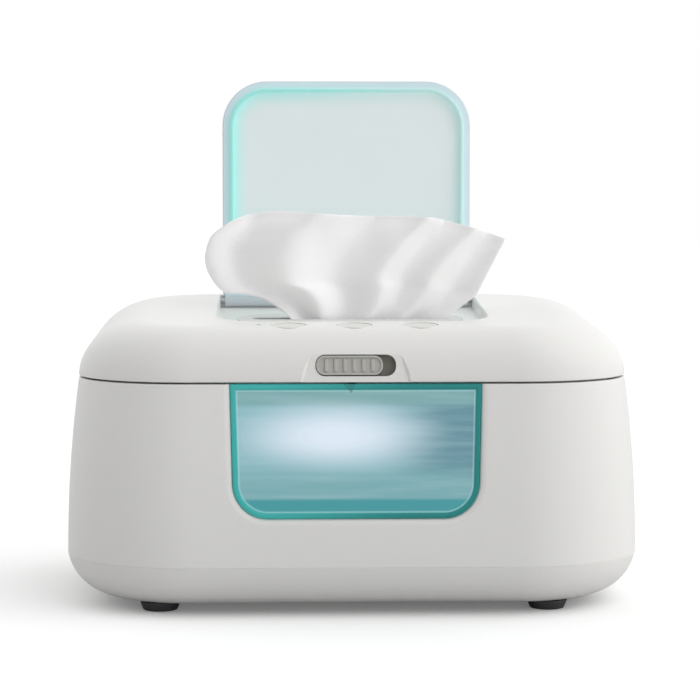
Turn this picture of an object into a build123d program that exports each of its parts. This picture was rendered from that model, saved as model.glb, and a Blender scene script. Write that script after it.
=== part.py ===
from build123d import *
from math import cos, radians, sin
import os

# A baby wipe warmer: a white casing with a window and a night light, a heated tub inside,
# a hinged lid with a slide latch and three buttons, and a flap that stands open over the
# dispensing slot with one wipe pulled through it.
# Millimetres. X is right, Y is back, Z is up, and the origin is on the floor under the middle.

# ---- Casing ----
body_width = 250.0          # across the crease, the widest level
body_depth = 178.0
plan_corner = 55.0          # corner radius of the plan at the crease
underside_height = 4.0
crease_height = 22.0        # where the base pan meets the housing
parting_height = 99.0       # top edge of the housing
wall_lean = 5.3             # how far the wall has leaned in at the parting line
wall = 2.5
base_lean_angle = 15.0      # degrees that the base turns in at the crease
base_round = 22.0

# ---- Lid ----
parting_gap = 0.8
lid_rise = 27.2             # from the lid's lower edge to its top, over the origin
lid_slope = 3.7             # degrees that the top falls towards the front
lid_side_round = 31.0
lid_front_round = 17.0
lid_rear_round = 28.0
lid_corner_draw = 26.0      # how much smaller the plan corner gets up to the top
lid_outline_turns = (0, 15, 30, 45, 60, 75, 90)   # degrees round the edge's quarter ellipse
lid_bottom = parting_height + parting_gap
lid_crown_height = lid_bottom + lid_rise

# ---- Fits ----
fit_gap = 0.3               # between pieces that move past each other
slip_gap = 0.15             # between pieces that are fixed in one another
pin_gap = 0.05              # round a hinge pin
cut_start = 2.0             # how far outside a face its cut begins

# ---- Window ----
window_top_width = 106.0
window_bottom_width = 103.0
window_sill_height = 42.7
window_corner = 14.5
window_thickness = 2.4

# ---- Tub ----
tub_end_gap = 17.0          # from the crease's plan to the tub's ends
tub_side_gap = 19.0         # from the crease's plan to the tub's front and back
tub_width = body_width - 2 * tub_end_gap
tub_depth = body_depth - 2 * tub_side_gap
tub_corner = 30.0
tub_wall = 1.8
tub_floor_height = 34.0
flange_drop = 8.0           # from the parting line to the flange's underside
flange_height = parting_height - flange_drop
flange_thickness = 2.0
flange_reveal = 1.6         # gap between the flange's edge and the housing wall
ledge_width = 6.0
ledge_thickness = 2.5

# ---- Heater stack under the tub ----
heater_end_margin = 18.0
heater_side_margin = 15.0
heater_width = tub_width - 2 * heater_end_margin
heater_depth = tub_depth - 2 * heater_side_margin
heater_corner = 6.0
plate_thickness = 1.2
film_thickness = 0.6
film_margin = 5.0
film_corner = 4.0
pad_thickness = 8.0
cutout_radius = 7.0
cutout_height = 6.0
cutout_rim = 1.0            # width and thickness of its mounting rim
rail_width = 3.0
rail_spacing = 120.0

# ---- Control board and power inlet ----
board_width = 90.0
board_depth = 44.0
board_thickness = 1.6
board_y = 26.0
board_stand = 5.0
board_corner = 2.0
board_post_inset = 5.0
board_post_radius = 2.6
component_height = 5.0
relay_place = (-26.0, 8.0)  # component places are from the board's middle
relay_length = 15.0
relay_width = 10.0
capacitor_place = (-26.0, -9.0)
capacitor_radius = 4.0
chip_place = (2.0, 2.0)
chip_length = 12.0
chip_width = 9.0
socket_place = (28.0, 10.0)
socket_length = 16.0
socket_width = 6.0
inlet_x = plan_corner - body_width / 2    # where the straight of the rear wall ends
inlet_height = 36.0
inlet_radius = 4.2
inlet_bore_radius = 3.0
inlet_bore_depth = 9.0
inlet_recess = 0.4          # behind the rear wall's face
inlet_pin_radius = 1.0
inlet_pin_setback = 1.5
inlet_block = 11.0
inlet_block_depth = 7.5

# ---- Feet and screws ----
foot_end_inset = 41.5
foot_side_inset = 29.0
foot_x = body_width / 2 - foot_end_inset
foot_y = body_depth / 2 - foot_side_inset
foot_radius = 7.5
foot_top_radius = 8.75
foot_peg_radius = 3.0
foot_peg_length = 1.6
screw_end_inset = 28.0
screw_x = body_width / 2 - screw_end_inset
screw_y = 30.0
screw_radius = 1.5
screw_head_radius = 3.0
screw_head_height = 1.8
screw_length = 10.0
screw_counterbore = 1.5     # how deep the heads are sunk
screw_end_gap = 1.0         # from a base screw's tip to its boss's end
boss_radius = 4.0
boss_height = 9.0
boss_web = 2.5

# ---- Lid hinge ----
hinge_setback = 4.0         # from the crease's plan at the back
hinge_inset = 8.0           # from where the straight of the rear wall ends
hinge_y = body_depth / 2 - hinge_setback
hinge_height = parting_height + parting_gap / 2
hinge_x = body_width / 2 - plan_corner - hinge_inset
knuckle_radius = 3.4
lid_knuckle_width = 14.0
housing_knuckle_width = 8.0
hinge_pin_radius = 1.5
knuckle_notch_gap = 0.5
bracket_length = 9.0        # how far a knuckle's bracket runs along the wall
bracket_foot = 2.8

# ---- Flap and its seat in the lid ----
flap_width = 117.0
flap_corner = 21.0
flap_thickness = 2.2
flap_axis_setback = 36.0    # along the lid's top, from the crease's plan at the back
flap_front_setback = 38.6   # along the lid's top, from the crease's plan at the front
flap_axis_y = body_depth / 2 - flap_axis_setback
flap_length = body_depth - flap_axis_setback - flap_front_setback
flap_axis_drop = 2.6
flap_barrel_radius = 2.5
flap_pin_radius = 1.2
flap_pin_grip = 1.8         # how far each end goes into the seat's wall
flap_foot = 1.9             # how far over the pin's axis the panel's lower edge starts
flap_foot_corner = 2.0
barrel_end_gap = 1.0        # from the panel's side edge to its barrel's end
seat_gap = 1.2
seat_rear_gap = 3.5
seat_depth = 6.0
seal_inset = 3.6
seal_width = 1.6
seal_height = 3.2
seal_hinge_gap = 7.0

# ---- Dispensing slot ----
slot_y = -4.0               # along the lid's top
slot_length = 88.0
slot_width = 6.6
grommet_flange = 4.0        # how far it lies on the seat's floor round the port
grommet_thickness = 1.6
grommet_neck = 2.0
grommet_neck_reach = 1.0    # how far the neck comes out under the seat's floor
port_length = 94.0
port_width = 30.0
grommet_length = port_length + 2 * grommet_flange
grommet_width = port_width + 2 * grommet_flange

# ---- Lid liner, skirt and gasket ----
liner_rise = 0.4            # over the lid's lower edge
liner_height = lid_bottom + liner_rise
liner_thickness = 1.4
liner_notch_width = 54.0
liner_notch_depth = 11.7    # from the casing's front
liner_port_length = 124.0
liner_port_width = 64.0
liner_port_corner = 20.0
skirt_inset = 12.5
skirt_thickness = 1.6
gasket_width = 3.0
gasket_height = 1.7
gasket_bottom = flange_height + flange_thickness + fit_gap
skirt_bottom = gasket_bottom + gasket_height
lid_screw_end_inset = 33.0
lid_screw_side_inset = 39.0
lid_screw_x = body_width / 2 - lid_screw_end_inset
lid_screw_y = body_depth / 2 - lid_screw_side_inset

# ---- Buttons ----
button_pitch = 28.3
button_setback = 25.5       # along the lid's top, from the crease's plan at the front
button_y = button_setback - body_depth / 2
button_radius = 7.5
button_dip = 0.25
button_edge_round = 0.5
button_flange_radius = 8.2
button_flange_drop = 4.6
button_flange = 1.2
button_names = ("power", "light", "heat")
dome_height = 3.8
keypad_width = 90.0
keypad_depth = 16.0
keypad_thickness = 1.2
keypad_post_radius = 2.4
dome_radius = 4.0
dome_wall = 1.0
lens_x = -41.0
lens_radius = 1.2
lens_dip = 0.1

# ---- Slide latch ----
latch_rise = 7.0            # from the lid's lower edge to the middle of the slot
latch_face_inset = 7.04     # from the crease's plan to the scoop's face, at that height
latch_height = lid_bottom + latch_rise
latch_setback = body_depth / 2 - latch_face_inset
latch_lean = 9.5            # degrees
latch_slot_width = 34.0
latch_slot_height = 9.2
latch_slot_corner = 2.0
latch_travel = 5.3
grip_height = 8.2
grip_dip = 0.3
grip_corner = 1.6
rib_count = 6
rib_pitch = 3.9
rib_width = 1.5
rib_height = 5.4
rib_rise = 0.7
rib_corner = 0.7
rim_width = 0.9
scoop_bottom_width = 46.4
scoop_top_width = 37.2
scoop_top = 5.6
scoop_reach = 5.0           # how far out of its face the scoop is cut
carrier_outside = 2.9       # how far behind the scoop's face the carrier runs
carrier_height = 12.6
carrier_thickness = 1.5
carrier_overlap = 2.0       # past the slot's ends when the slider is at either end
latch_block_width = 66.0
latch_block_top = 10.0
latch_block_bottom = -4.0
chamber_side_wall = 3.0
guide_thickness = 1.6
guide_bottom = -3.6
guide_top = 8.0
hook_stem = 3.0
hook_barb = 2.2
hook_nose = 0.3             # thickness of the barb at its end
hook_right = 0.6
hook_shoulder_drop = 3.2    # under the parting line
hook_tip_drop = 4.7
hook_shoulder_height = parting_height - hook_shoulder_drop
hook_tip_height = parting_height - hook_tip_drop
keeper_width = 6.0
keeper_height = 2.2
keeper_depth = 2.5

# ---- Night light ----
light_width = 84.0
light_height = 15.0
light_corner = 4.0
light_flange_gap = 6.5      # from the tub's flange down to the cover's top edge
light_middle_height = flange_height - light_flange_gap - light_height / 2
light_board_thickness = 1.2
light_board_side_gap = 3.0
light_board_edge_gap = 2.0
light_cover_depth = 3.4
light_cover_wall = 1.0
light_count = 6
light_pitch = 12.0
light_chip_width = 3.5
light_chip_height = 2.8
light_chip_depth = 0.8

# ---- Wipe ----
wipe_thickness = 1.2
wipe_bottom_drop = 12.5     # under the middle of the slot
wipe_slot_rise = 2.5        # its other heights are over the middle of the slot
wipe_middle_rise = 24.5
wipe_top_rise = 50.0
wipe_left = -25.6           # its edges in the slot
wipe_right = 44.2
wipe_fold_round = 3.0
wipe_pinch_gap = 0.4        # to each lip of the slot

keypad_drop = button_flange_drop + button_flange + fit_gap + dome_height
side_plane = Plane.YZ


def lean_at(height):
    """How far the housing wall has leaned in at a height: it grows with the square of the rise."""
    return wall_lean * ((height - crease_height) / (parting_height - crease_height)) ** 2


def plan_outline(height, inset):
    """Rounded plan of the casing at one height, pushed in by an inset from the crease's plan."""
    with BuildSketch(Plane.XY.offset(height)) as outline:
        RectangleRounded(body_width - 2 * inset, body_depth - 2 * inset, plan_corner - inset)
    return outline.sketch


def wall_outlines(inset):
    """Three plans that the leaning housing wall is lofted through."""
    middle_height = (crease_height + parting_height) / 2
    heights = (crease_height, middle_height, parting_height)
    return [plan_outline(height, lean_at(height) + inset) for height in heights]


def window_outline(gap):
    """U-shaped outline of the window, seen from the front and made smaller by a gap."""
    top = parting_height
    sill = window_sill_height + gap
    half_top = window_top_width / 2 - gap
    half_sill = window_bottom_width / 2 - gap
    with BuildSketch(Plane.XZ.offset(body_depth / 2)) as outline:
        with BuildLine():
            FilletPolyline(
                (-half_top, top), (-half_sill, sill), (half_sill, sill), (half_top, top),
                radius=window_corner - gap)
            Line((-half_top, top), (half_top, top))
        make_face()
    return outline.sketch


def lid_plane(turn, drop=0.0):
    """Plane of one lid outline: level at the parting line, climbing and tilting to the sloping top."""
    rise = sin(radians(turn))
    height = lid_bottom + (lid_crown_height - drop - lid_bottom) * rise
    tilt = radians(lid_slope * rise)
    return Plane(origin=(0, 0, height), x_dir=(1, 0, 0), z_dir=(0, -sin(tilt), cos(tilt)))


def lid_outlines(inset=0.0):
    """Outlines from the parting line to the top, drawn in along a quarter ellipse."""
    outlines = []
    edge = wall_lean + inset
    for turn in lid_outline_turns:
        draw = 1 - cos(radians(turn))
        front = body_depth / 2 - edge - lid_front_round * draw
        rear = body_depth / 2 - edge - lid_rear_round * draw
        width = body_width - 2 * (edge + lid_side_round * draw)
        with BuildSketch(lid_plane(turn, inset)) as outline:
            with Locations((0, (rear - front) / 2)):
                RectangleRounded(width, front + rear, plan_corner - edge - lid_corner_draw * draw)
        outlines.append(outline.sketch)
    return outlines


lid_top = lid_plane(90)
latch_tilt = radians(latch_lean)
latch_face = Plane(
    origin=(0, -latch_setback, latch_height),
    x_dir=(1, 0, 0),
    z_dir=(0, -cos(latch_tilt), sin(latch_tilt)))
flap_axis = lid_top.from_local_coords(Vector(0, flap_axis_y, -flap_axis_drop))


def seat_outline(margin, drop):
    """Outline of the flap's seat on the lid's top: two large front corners and two small rear ones."""
    front = flap_axis_y - flap_length - seat_gap - margin
    rear = flap_axis_y + seat_rear_gap + margin
    width = flap_width + 2 * (seat_gap + margin)
    with BuildSketch(lid_top.offset(-drop)) as outline:
        with Locations((0, (front + rear) / 2)):
            Rectangle(width, rear - front)
        fillet(outline.vertices().group_by(Axis.Y)[0], flap_corner + seat_gap + margin)
        fillet(outline.vertices().group_by(Axis.Y)[-1], margin + seat_gap)
    return outline.sketch


# ======================= Casing =======================

knuckle_step = (lid_knuckle_width + housing_knuckle_width) / 2 + fit_gap
knuckle_flank = knuckle_radius * sin(radians(45))
pin_length = lid_knuckle_width + 2 * (housing_knuckle_width + fit_gap)

with BuildPart() as housing:
    loft(sections=wall_outlines(0))
    loft(sections=wall_outlines(wall), mode=Mode.SUBTRACT)
    # Ledge that carries the tub's flange.
    ledge_bottom = flange_height - ledge_thickness
    ledge_inset = lean_at(flange_height) + wall
    with BuildSketch(Plane.XY.offset(ledge_bottom)):
        add(plan_outline(0, ledge_inset - wall / 2))
        add(plan_outline(0, ledge_inset + ledge_width), mode=Mode.SUBTRACT)
    extrude(amount=ledge_thickness)
    # Bosses for the base screws, each on a web to the side wall.
    with BuildSketch(Plane.XY.offset(crease_height)):
        for side_x in (-1, 1):
            for boss_y in (-screw_y, screw_y):
                wall_x = body_width / 2 - wall / 2
                with Locations((side_x * (screw_x + wall_x) / 2, boss_y)):
                    Rectangle(wall_x - screw_x, boss_web)
        with GridLocations(2 * screw_x, 2 * screw_y, 2, 2):
            Circle(boss_radius)
            Circle(screw_radius + pin_gap, mode=Mode.SUBTRACT)
    extrude(amount=boss_height)
    # Window notch, open to the parting line.
    notch_depth = lean_at(ledge_bottom) + 2 * wall + ledge_width
    extrude(to_extrude=window_outline(0), amount=-notch_depth, mode=Mode.SUBTRACT)
    # Power inlet hole through the rear wall.
    with BuildSketch(Plane.XZ.offset(-body_depth / 2)):
        with Locations((inlet_x, inlet_height)):
            Circle(inlet_radius + slip_gap)
    extrude(amount=2 * wall, mode=Mode.SUBTRACT)
    # Notches for the lid's knuckles, then the housing's own knuckles beside them.
    for hinge_side in (-1, 1):
        with BuildSketch(side_plane.offset(hinge_side * hinge_x)):
            with Locations((hinge_y, hinge_height)):
                Circle(knuckle_radius + knuckle_notch_gap)
        extrude(amount=lid_knuckle_width / 2 + fit_gap, both=True, mode=Mode.SUBTRACT)
        for offset_x in (-knuckle_step, knuckle_step):
            with BuildSketch(side_plane.offset(hinge_side * hinge_x + offset_x)):
                with Locations((hinge_y, hinge_height)):
                    Circle(knuckle_radius)
                with BuildLine():
                    Polyline(
                        (hinge_y - knuckle_radius, hinge_height),
                        (hinge_y - knuckle_radius, hinge_height - bracket_length),
                        (hinge_y - knuckle_radius + bracket_foot, hinge_height - bracket_length),
                        (hinge_y + knuckle_radius, hinge_height),
                        close=True)
                make_face()
            extrude(amount=housing_knuckle_width / 2, both=True)
        with BuildSketch(side_plane.offset(hinge_side * hinge_x)):
            with Locations((hinge_y, hinge_height)):
                Circle(hinge_pin_radius + pin_gap)
        extrude(amount=pin_length / 2, both=True, mode=Mode.SUBTRACT)
housing.part.label = "housing"

with BuildPart() as window_panel:
    loft(sections=wall_outlines(0))
    loft(sections=wall_outlines(window_thickness), mode=Mode.SUBTRACT)
    extrude(to_extrude=window_outline(slip_gap), amount=-notch_depth, mode=Mode.INTERSECT)
    # Keeper that the latch hook catches under.
    keeper_back = body_depth / 2 - wall_lean - window_thickness - keeper_depth
    keeper_right = hook_right - hook_stem - fit_gap
    with BuildSketch(Plane.XZ.offset(keeper_back)):
        with Locations((keeper_right - keeper_width / 2, hook_shoulder_height + fit_gap)):
            Rectangle(keeper_width, keeper_height, align=(Align.CENTER, Align.MIN))
    extrude(amount=keeper_depth + window_thickness / 2)
window_panel.part.label = "window_panel"


def pan_form(inset):
    """Solid of the rounded-under base: it turns in at the crease, then rounds into the underside."""
    with BuildPart() as form:
        with BuildSketch(Plane.XY.offset(crease_height)):
            RectangleRounded(body_width - 2 * inset, body_depth - 2 * inset, plan_corner - inset)
        extrude(amount=crease_height - underside_height - inset, dir=(0, 0, -1), taper=base_lean_angle)
        fillet(form.faces().sort_by(Axis.Z)[0].edges(), base_round - inset)
    return form.part


pan_floor = underside_height + wall
film_bottom = tub_floor_height - plate_thickness - film_thickness
pad_bottom = film_bottom - pad_thickness
screw_seat = underside_height + screw_head_height + screw_counterbore

with BuildPart() as base_pan:
    add(pan_form(0))
    add(pan_form(wall), mode=Mode.SUBTRACT)
    # Two rails carry the insulation pad, and four posts carry the control board.
    with BuildSketch(Plane.XY.offset(pan_floor)):
        with GridLocations(rail_spacing, 1, 2, 1):
            Rectangle(rail_width, heater_depth)
    extrude(amount=pad_bottom - pan_floor)
    with BuildSketch(Plane.XY.offset(pan_floor)):
        with Locations((0, board_y)):
            with GridLocations(board_width - 2 * board_post_inset, board_depth - 2 * board_post_inset, 2, 2):
                Circle(board_post_radius)
    extrude(amount=board_stand)
    # Bosses for the screws, with a counterbore that each head sits in.
    with BuildSketch(Plane.XY.offset(screw_seat)):
        with GridLocations(2 * screw_x, 2 * screw_y, 2, 2):
            Circle(boss_radius)
    extrude(amount=crease_height - screw_seat)
    with BuildSketch(Plane.XY.offset(underside_height)):
        with GridLocations(2 * screw_x, 2 * screw_y, 2, 2):
            Circle(boss_radius)
    extrude(amount=screw_seat - underside_height)
    with BuildSketch(Plane.XY.offset(underside_height)):
        with GridLocations(2 * screw_x, 2 * screw_y, 2, 2):
            Circle(screw_head_radius + slip_gap)
    extrude(amount=screw_seat - underside_height, mode=Mode.SUBTRACT)
    with BuildSketch(Plane.XY.offset(underside_height)):
        with GridLocations(2 * screw_x, 2 * screw_y, 2, 2):
            Circle(screw_radius + slip_gap)
    extrude(amount=crease_height, mode=Mode.SUBTRACT)
    # Blind holes for the pegs of the feet.
    with BuildSketch(Plane.XY.offset(underside_height)):
        with GridLocations(2 * foot_x, 2 * foot_y, 2, 2):
            Circle(foot_peg_radius + pin_gap)
    extrude(amount=foot_peg_length, mode=Mode.SUBTRACT)
base_pan.part.label = "base_pan"

with BuildPart() as feet:
    with GridLocations(2 * foot_x, 2 * foot_y, 2, 2):
        Cone(foot_radius, foot_top_radius, underside_height, align=(Align.CENTER, Align.CENTER, Align.MIN))
    with BuildSketch(Plane.XY.offset(underside_height)):
        with GridLocations(2 * foot_x, 2 * foot_y, 2, 2):
            Circle(foot_peg_radius)
    extrude(amount=foot_peg_length)
feet.part.label = "feet"

with BuildPart() as base_screws:
    with BuildSketch(Plane.XY.offset(screw_seat - screw_head_height)):
        with GridLocations(2 * screw_x, 2 * screw_y, 2, 2):
            Circle(screw_head_radius)
    extrude(amount=screw_head_height)
    with BuildSketch(Plane.XY.offset(screw_seat)):
        with GridLocations(2 * screw_x, 2 * screw_y, 2, 2):
            Circle(screw_radius)
    extrude(amount=crease_height + boss_height - screw_seat - screw_end_gap)
base_screws.part.label = "base_screws"

with BuildPart() as lid_hinge_pins:
    for hinge_side in (-1, 1):
        with BuildSketch(side_plane.offset(hinge_side * hinge_x)):
            with Locations((hinge_y, hinge_height)):
                Circle(hinge_pin_radius)
        extrude(amount=pin_length / 2, both=True)
lid_hinge_pins.part.label = "lid_hinge_pins"

# ======================= Tub, heater and electrics =======================

flange_inset = lean_at(flange_height) + wall + flange_reveal

with BuildPart() as inner_tub:
    with BuildSketch(Plane.XY.offset(tub_floor_height)):
        RectangleRounded(tub_width, tub_depth, tub_corner)
    extrude(amount=flange_height - tub_floor_height)
    add(extrude(plan_outline(flange_height, flange_inset), amount=flange_thickness, mode=Mode.PRIVATE))
    with BuildSketch(Plane.XY.offset(tub_floor_height + tub_wall)):
        RectangleRounded(tub_width - 2 * tub_wall, tub_depth - 2 * tub_wall, tub_corner - tub_wall)
    extrude(amount=parting_height - tub_floor_height, mode=Mode.SUBTRACT)
inner_tub.part.label = "inner_tub"

with BuildPart() as heater_plate:
    with BuildSketch(Plane.XY.offset(tub_floor_height - plate_thickness)):
        RectangleRounded(heater_width, heater_depth, heater_corner)
    extrude(amount=plate_thickness)
heater_plate.part.label = "heater_plate"

with BuildPart() as heating_film:
    with BuildSketch(Plane.XY.offset(film_bottom)):
        RectangleRounded(heater_width - 2 * film_margin, heater_depth - 2 * film_margin, film_corner)
    extrude(amount=film_thickness)
heating_film.part.label = "heating_film"

with BuildPart() as insulation_pad:
    with BuildSketch(Plane.XY.offset(pad_bottom)):
        RectangleRounded(heater_width, heater_depth, heater_corner)
        Circle(cutout_radius + cutout_rim, mode=Mode.SUBTRACT)
    extrude(amount=pad_thickness)
insulation_pad.part.label = "insulation_pad"

with BuildPart() as thermal_cutout:
    with BuildSketch(Plane.XY.offset(film_bottom - cutout_height)):
        Circle(cutout_radius - cutout_rim)
    extrude(amount=cutout_height)
    with BuildSketch(Plane.XY.offset(film_bottom - cutout_rim)):
        Circle(cutout_radius)
    extrude(amount=cutout_rim)
thermal_cutout.part.label = "thermal_cutout"

board_bottom = pan_floor + board_stand
board_top = board_bottom + board_thickness

with BuildPart() as control_board:
    with BuildSketch(Plane.XY.offset(board_bottom)):
        with Locations((0, board_y)):
            RectangleRounded(board_width, board_depth, board_corner)
    extrude(amount=board_thickness)
control_board.part.label = "control_board"

with BuildPart() as board_components:
    with BuildSketch(Plane.XY.offset(board_top)):
        with Locations((0, board_y)):
            with Locations(relay_place):
                Rectangle(relay_length, relay_width)
            with Locations(capacitor_place):
                Circle(capacitor_radius)
            with Locations(chip_place):
                Rectangle(chip_length, chip_width)
            with Locations(socket_place):
                Rectangle(socket_length, socket_width)
    extrude(amount=component_height)
board_components.part.label = "board_components"

inlet_wall_y = body_depth / 2 - lean_at(inlet_height)

with BuildPart() as power_inlet:
    with BuildSketch(Plane.XZ.offset(-(inlet_wall_y - inlet_recess))):
        with Locations((inlet_x, inlet_height)):
            Circle(inlet_radius)
    extrude(amount=wall)
    with BuildSketch(Plane.XZ.offset(-(inlet_wall_y - wall - inlet_recess))):
        with Locations((inlet_x, inlet_height)):
            Rectangle(inlet_block, inlet_block)
    extrude(amount=inlet_block_depth)
    with BuildSketch(Plane.XZ.offset(-inlet_wall_y)):
        with Locations((inlet_x, inlet_height)):
            Circle(inlet_bore_radius)
    extrude(amount=inlet_bore_depth, mode=Mode.SUBTRACT)
power_inlet.part.label = "power_inlet"

with BuildPart() as inlet_pin:
    with BuildSketch(Plane.XZ.offset(-(inlet_wall_y - inlet_pin_setback))):
        with Locations((inlet_x, inlet_height)):
            Circle(inlet_pin_radius)
    extrude(amount=inlet_bore_depth - inlet_pin_setback)
inlet_pin.part.label = "inlet_pin"

light_back = tub_depth / 2

with BuildPart() as light_board:
    with BuildSketch(Plane.XZ.offset(light_back)):
        with Locations((0, light_middle_height)):
            Rectangle(light_width - 2 * light_board_side_gap, light_height - 2 * light_board_edge_gap)
    extrude(amount=light_board_thickness)
light_board.part.label = "light_board"

with BuildPart() as light_chips:
    with BuildSketch(Plane.XZ.offset(light_back + light_board_thickness)):
        with Locations((0, light_middle_height)):
            with GridLocations(light_pitch, 1, light_count, 1):
                Rectangle(light_chip_width, light_chip_height)
    extrude(amount=light_chip_depth)
light_chips.part.label = "light_chips"

with BuildPart() as light_cover:
    with BuildSketch(Plane.XZ.offset(light_back)):
        with Locations((0, light_middle_height)):
            RectangleRounded(light_width, light_height, light_corner)
    extrude(amount=light_cover_depth)
    with BuildSketch(Plane.XZ.offset(light_back)):
        with Locations((0, light_middle_height)):
            RectangleRounded(
                light_width - 2 * light_cover_wall, light_height - 2 * light_cover_wall,
                light_corner - light_cover_wall)
    extrude(amount=light_cover_depth - light_cover_wall, mode=Mode.SUBTRACT)
light_cover.part.label = "light_cover"

# ======================= Lid =======================

lid_boss_bottom = liner_height + liner_thickness
flap_pin_length = flap_width + 2 * (seat_gap + flap_pin_grip)

with BuildPart() as lid_form:
    loft(sections=lid_outlines())

with BuildPart() as lid_inside:
    # Walls and floor of the flap's seat.
    extrude(to_extrude=seat_outline(wall, 0), amount=-(seat_depth + wall))
    # Screw bosses and the posts of the keypad board.
    with BuildSketch(Plane.XY.offset(lid_boss_bottom)):
        with GridLocations(2 * lid_screw_x, 2 * lid_screw_y, 2, 2):
            Circle(boss_radius)
            Circle(screw_radius + pin_gap, mode=Mode.SUBTRACT)
    extrude(amount=body_depth / 2)
    with BuildSketch(lid_top.offset(-keypad_drop)):
        with Locations((0, button_y)):
            with GridLocations(button_pitch, 1, len(button_names) - 1, 1):
                Circle(keypad_post_radius)
    extrude(amount=keypad_drop)
    # Block behind the latch.
    with BuildSketch(latch_face):
        with Locations((0, (latch_block_top + latch_block_bottom) / 2)):
            Rectangle(latch_block_width, latch_block_top - latch_block_bottom)
    extrude(amount=-(carrier_outside + carrier_thickness + 2 * fit_gap))
    add(lid_form.part, mode=Mode.INTERSECT)

with BuildPart() as lid_shell:
    add(lid_form.part)
    loft(sections=lid_outlines(wall), mode=Mode.SUBTRACT)
    add(lid_inside.part)
    # The flap's seat, and the port in its floor.
    extrude(to_extrude=seat_outline(0, 0), amount=seat_depth, both=True, mode=Mode.SUBTRACT)
    with BuildSketch(lid_top.offset(-seat_depth)):
        with Locations((0, slot_y)):
            SlotOverall(port_length, port_width)
    extrude(amount=-2 * wall, mode=Mode.SUBTRACT)
    # Holes for the buttons and the lamp lens.
    with BuildSketch(lid_top.offset(cut_start)):
        with Locations((0, button_y)):
            with GridLocations(button_pitch, 1, len(button_names), 1):
                Circle(button_radius + fit_gap)
        with Locations((lens_x, button_y)):
            Circle(lens_radius + pin_gap)
    extrude(amount=-(cut_start + button_flange_drop), mode=Mode.SUBTRACT)
    # Scoop, slot and carrier chamber of the latch.
    with BuildSketch(latch_face):
        with BuildLine():
            Polyline(
                (-scoop_bottom_width / 2, -latch_block_top), (scoop_bottom_width / 2, -latch_block_top),
                (scoop_top_width / 2, scoop_top), (-scoop_top_width / 2, scoop_top), close=True)
        make_face()
    extrude(amount=scoop_reach, mode=Mode.SUBTRACT)
    with BuildSketch(latch_face.offset(cut_start)):
        RectangleRounded(latch_slot_width, latch_slot_height, latch_slot_corner)
    extrude(amount=-(cut_start + carrier_outside + fit_gap), mode=Mode.SUBTRACT)
    with BuildSketch(latch_face.offset(-carrier_outside)):
        with Locations((0, carrier_height / 2 + fit_gap)):
            Rectangle(
                latch_block_width - 2 * chamber_side_wall, latch_height,
                align=(Align.CENTER, Align.MAX))
    extrude(amount=-(carrier_thickness + 2 * fit_gap), mode=Mode.SUBTRACT)
    # Holes for the flap's pin in the side walls of the seat.
    with BuildSketch(side_plane):
        with Locations((flap_axis.Y, flap_axis.Z)):
            Circle(flap_pin_radius + pin_gap)
    extrude(amount=flap_pin_length / 2 + slip_gap, both=True, mode=Mode.SUBTRACT)
    # Notches for the housing's knuckles, then the lid's own knuckles.
    for hinge_side in (-1, 1):
        for offset_x in (-knuckle_step, knuckle_step):
            with BuildSketch(side_plane.offset(hinge_side * hinge_x + offset_x)):
                with Locations((hinge_y, hinge_height)):
                    Circle(knuckle_radius + knuckle_notch_gap)
            extrude(amount=housing_knuckle_width / 2 + fit_gap, both=True, mode=Mode.SUBTRACT)
        with BuildSketch(side_plane.offset(hinge_side * hinge_x)):
            with Locations((hinge_y, hinge_height)):
                Circle(knuckle_radius)
            with BuildLine():
                Polyline(
                    (hinge_y - knuckle_radius, hinge_height),
                    (hinge_y - knuckle_radius, hinge_height + bracket_length),
                    (hinge_y - knuckle_radius + bracket_foot / 2, hinge_height + bracket_length),
                    (hinge_y + knuckle_flank, hinge_height + knuckle_flank),
                    close=True)
            make_face()
        extrude(amount=lid_knuckle_width / 2, both=True)
        with BuildSketch(side_plane.offset(hinge_side * hinge_x)):
            with Locations((hinge_y, hinge_height)):
                Circle(hinge_pin_radius + pin_gap)
        extrude(amount=pin_length / 2, both=True, mode=Mode.SUBTRACT)
lid_shell.part.label = "lid_shell"

with BuildPart() as lid_liner:
    liner_inset = wall_lean + wall + 2 * fit_gap
    with BuildSketch(Plane.XY.offset(liner_height)):
        add(plan_outline(0, liner_inset))
        RectangleRounded(liner_port_length, liner_port_width, liner_port_corner, mode=Mode.SUBTRACT)
        # Notch for the latch carrier and its hook.
        with Locations((0, -body_depth / 2)):
            Rectangle(liner_notch_width, 2 * liner_notch_depth, mode=Mode.SUBTRACT)
        with GridLocations(2 * lid_screw_x, 2 * lid_screw_y, 2, 2):
            Circle(screw_radius + slip_gap, mode=Mode.SUBTRACT)
    extrude(amount=liner_thickness)
    with BuildSketch(Plane.XY.offset(skirt_bottom)):
        add(plan_outline(0, skirt_inset))
        add(plan_outline(0, skirt_inset + skirt_thickness), mode=Mode.SUBTRACT)
    extrude(amount=liner_height - skirt_bottom)
lid_liner.part.label = "lid_liner"

with BuildPart() as lid_gasket:
    gasket_inset = skirt_inset + (skirt_thickness - gasket_width) / 2
    with BuildSketch(Plane.XY.offset(gasket_bottom)):
        add(plan_outline(0, gasket_inset))
        add(plan_outline(0, gasket_inset + gasket_width), mode=Mode.SUBTRACT)
    extrude(amount=gasket_height)
lid_gasket.part.label = "lid_gasket"

with BuildPart() as lid_screws:
    with BuildSketch(Plane.XY.offset(liner_height - screw_head_height)):
        with GridLocations(2 * lid_screw_x, 2 * lid_screw_y, 2, 2):
            Circle(screw_head_radius)
    extrude(amount=screw_head_height)
    with BuildSketch(Plane.XY.offset(liner_height)):
        with GridLocations(2 * lid_screw_x, 2 * lid_screw_y, 2, 2):
            Circle(screw_radius)
    extrude(amount=screw_length)
lid_screws.part.label = "lid_screws"

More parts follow.
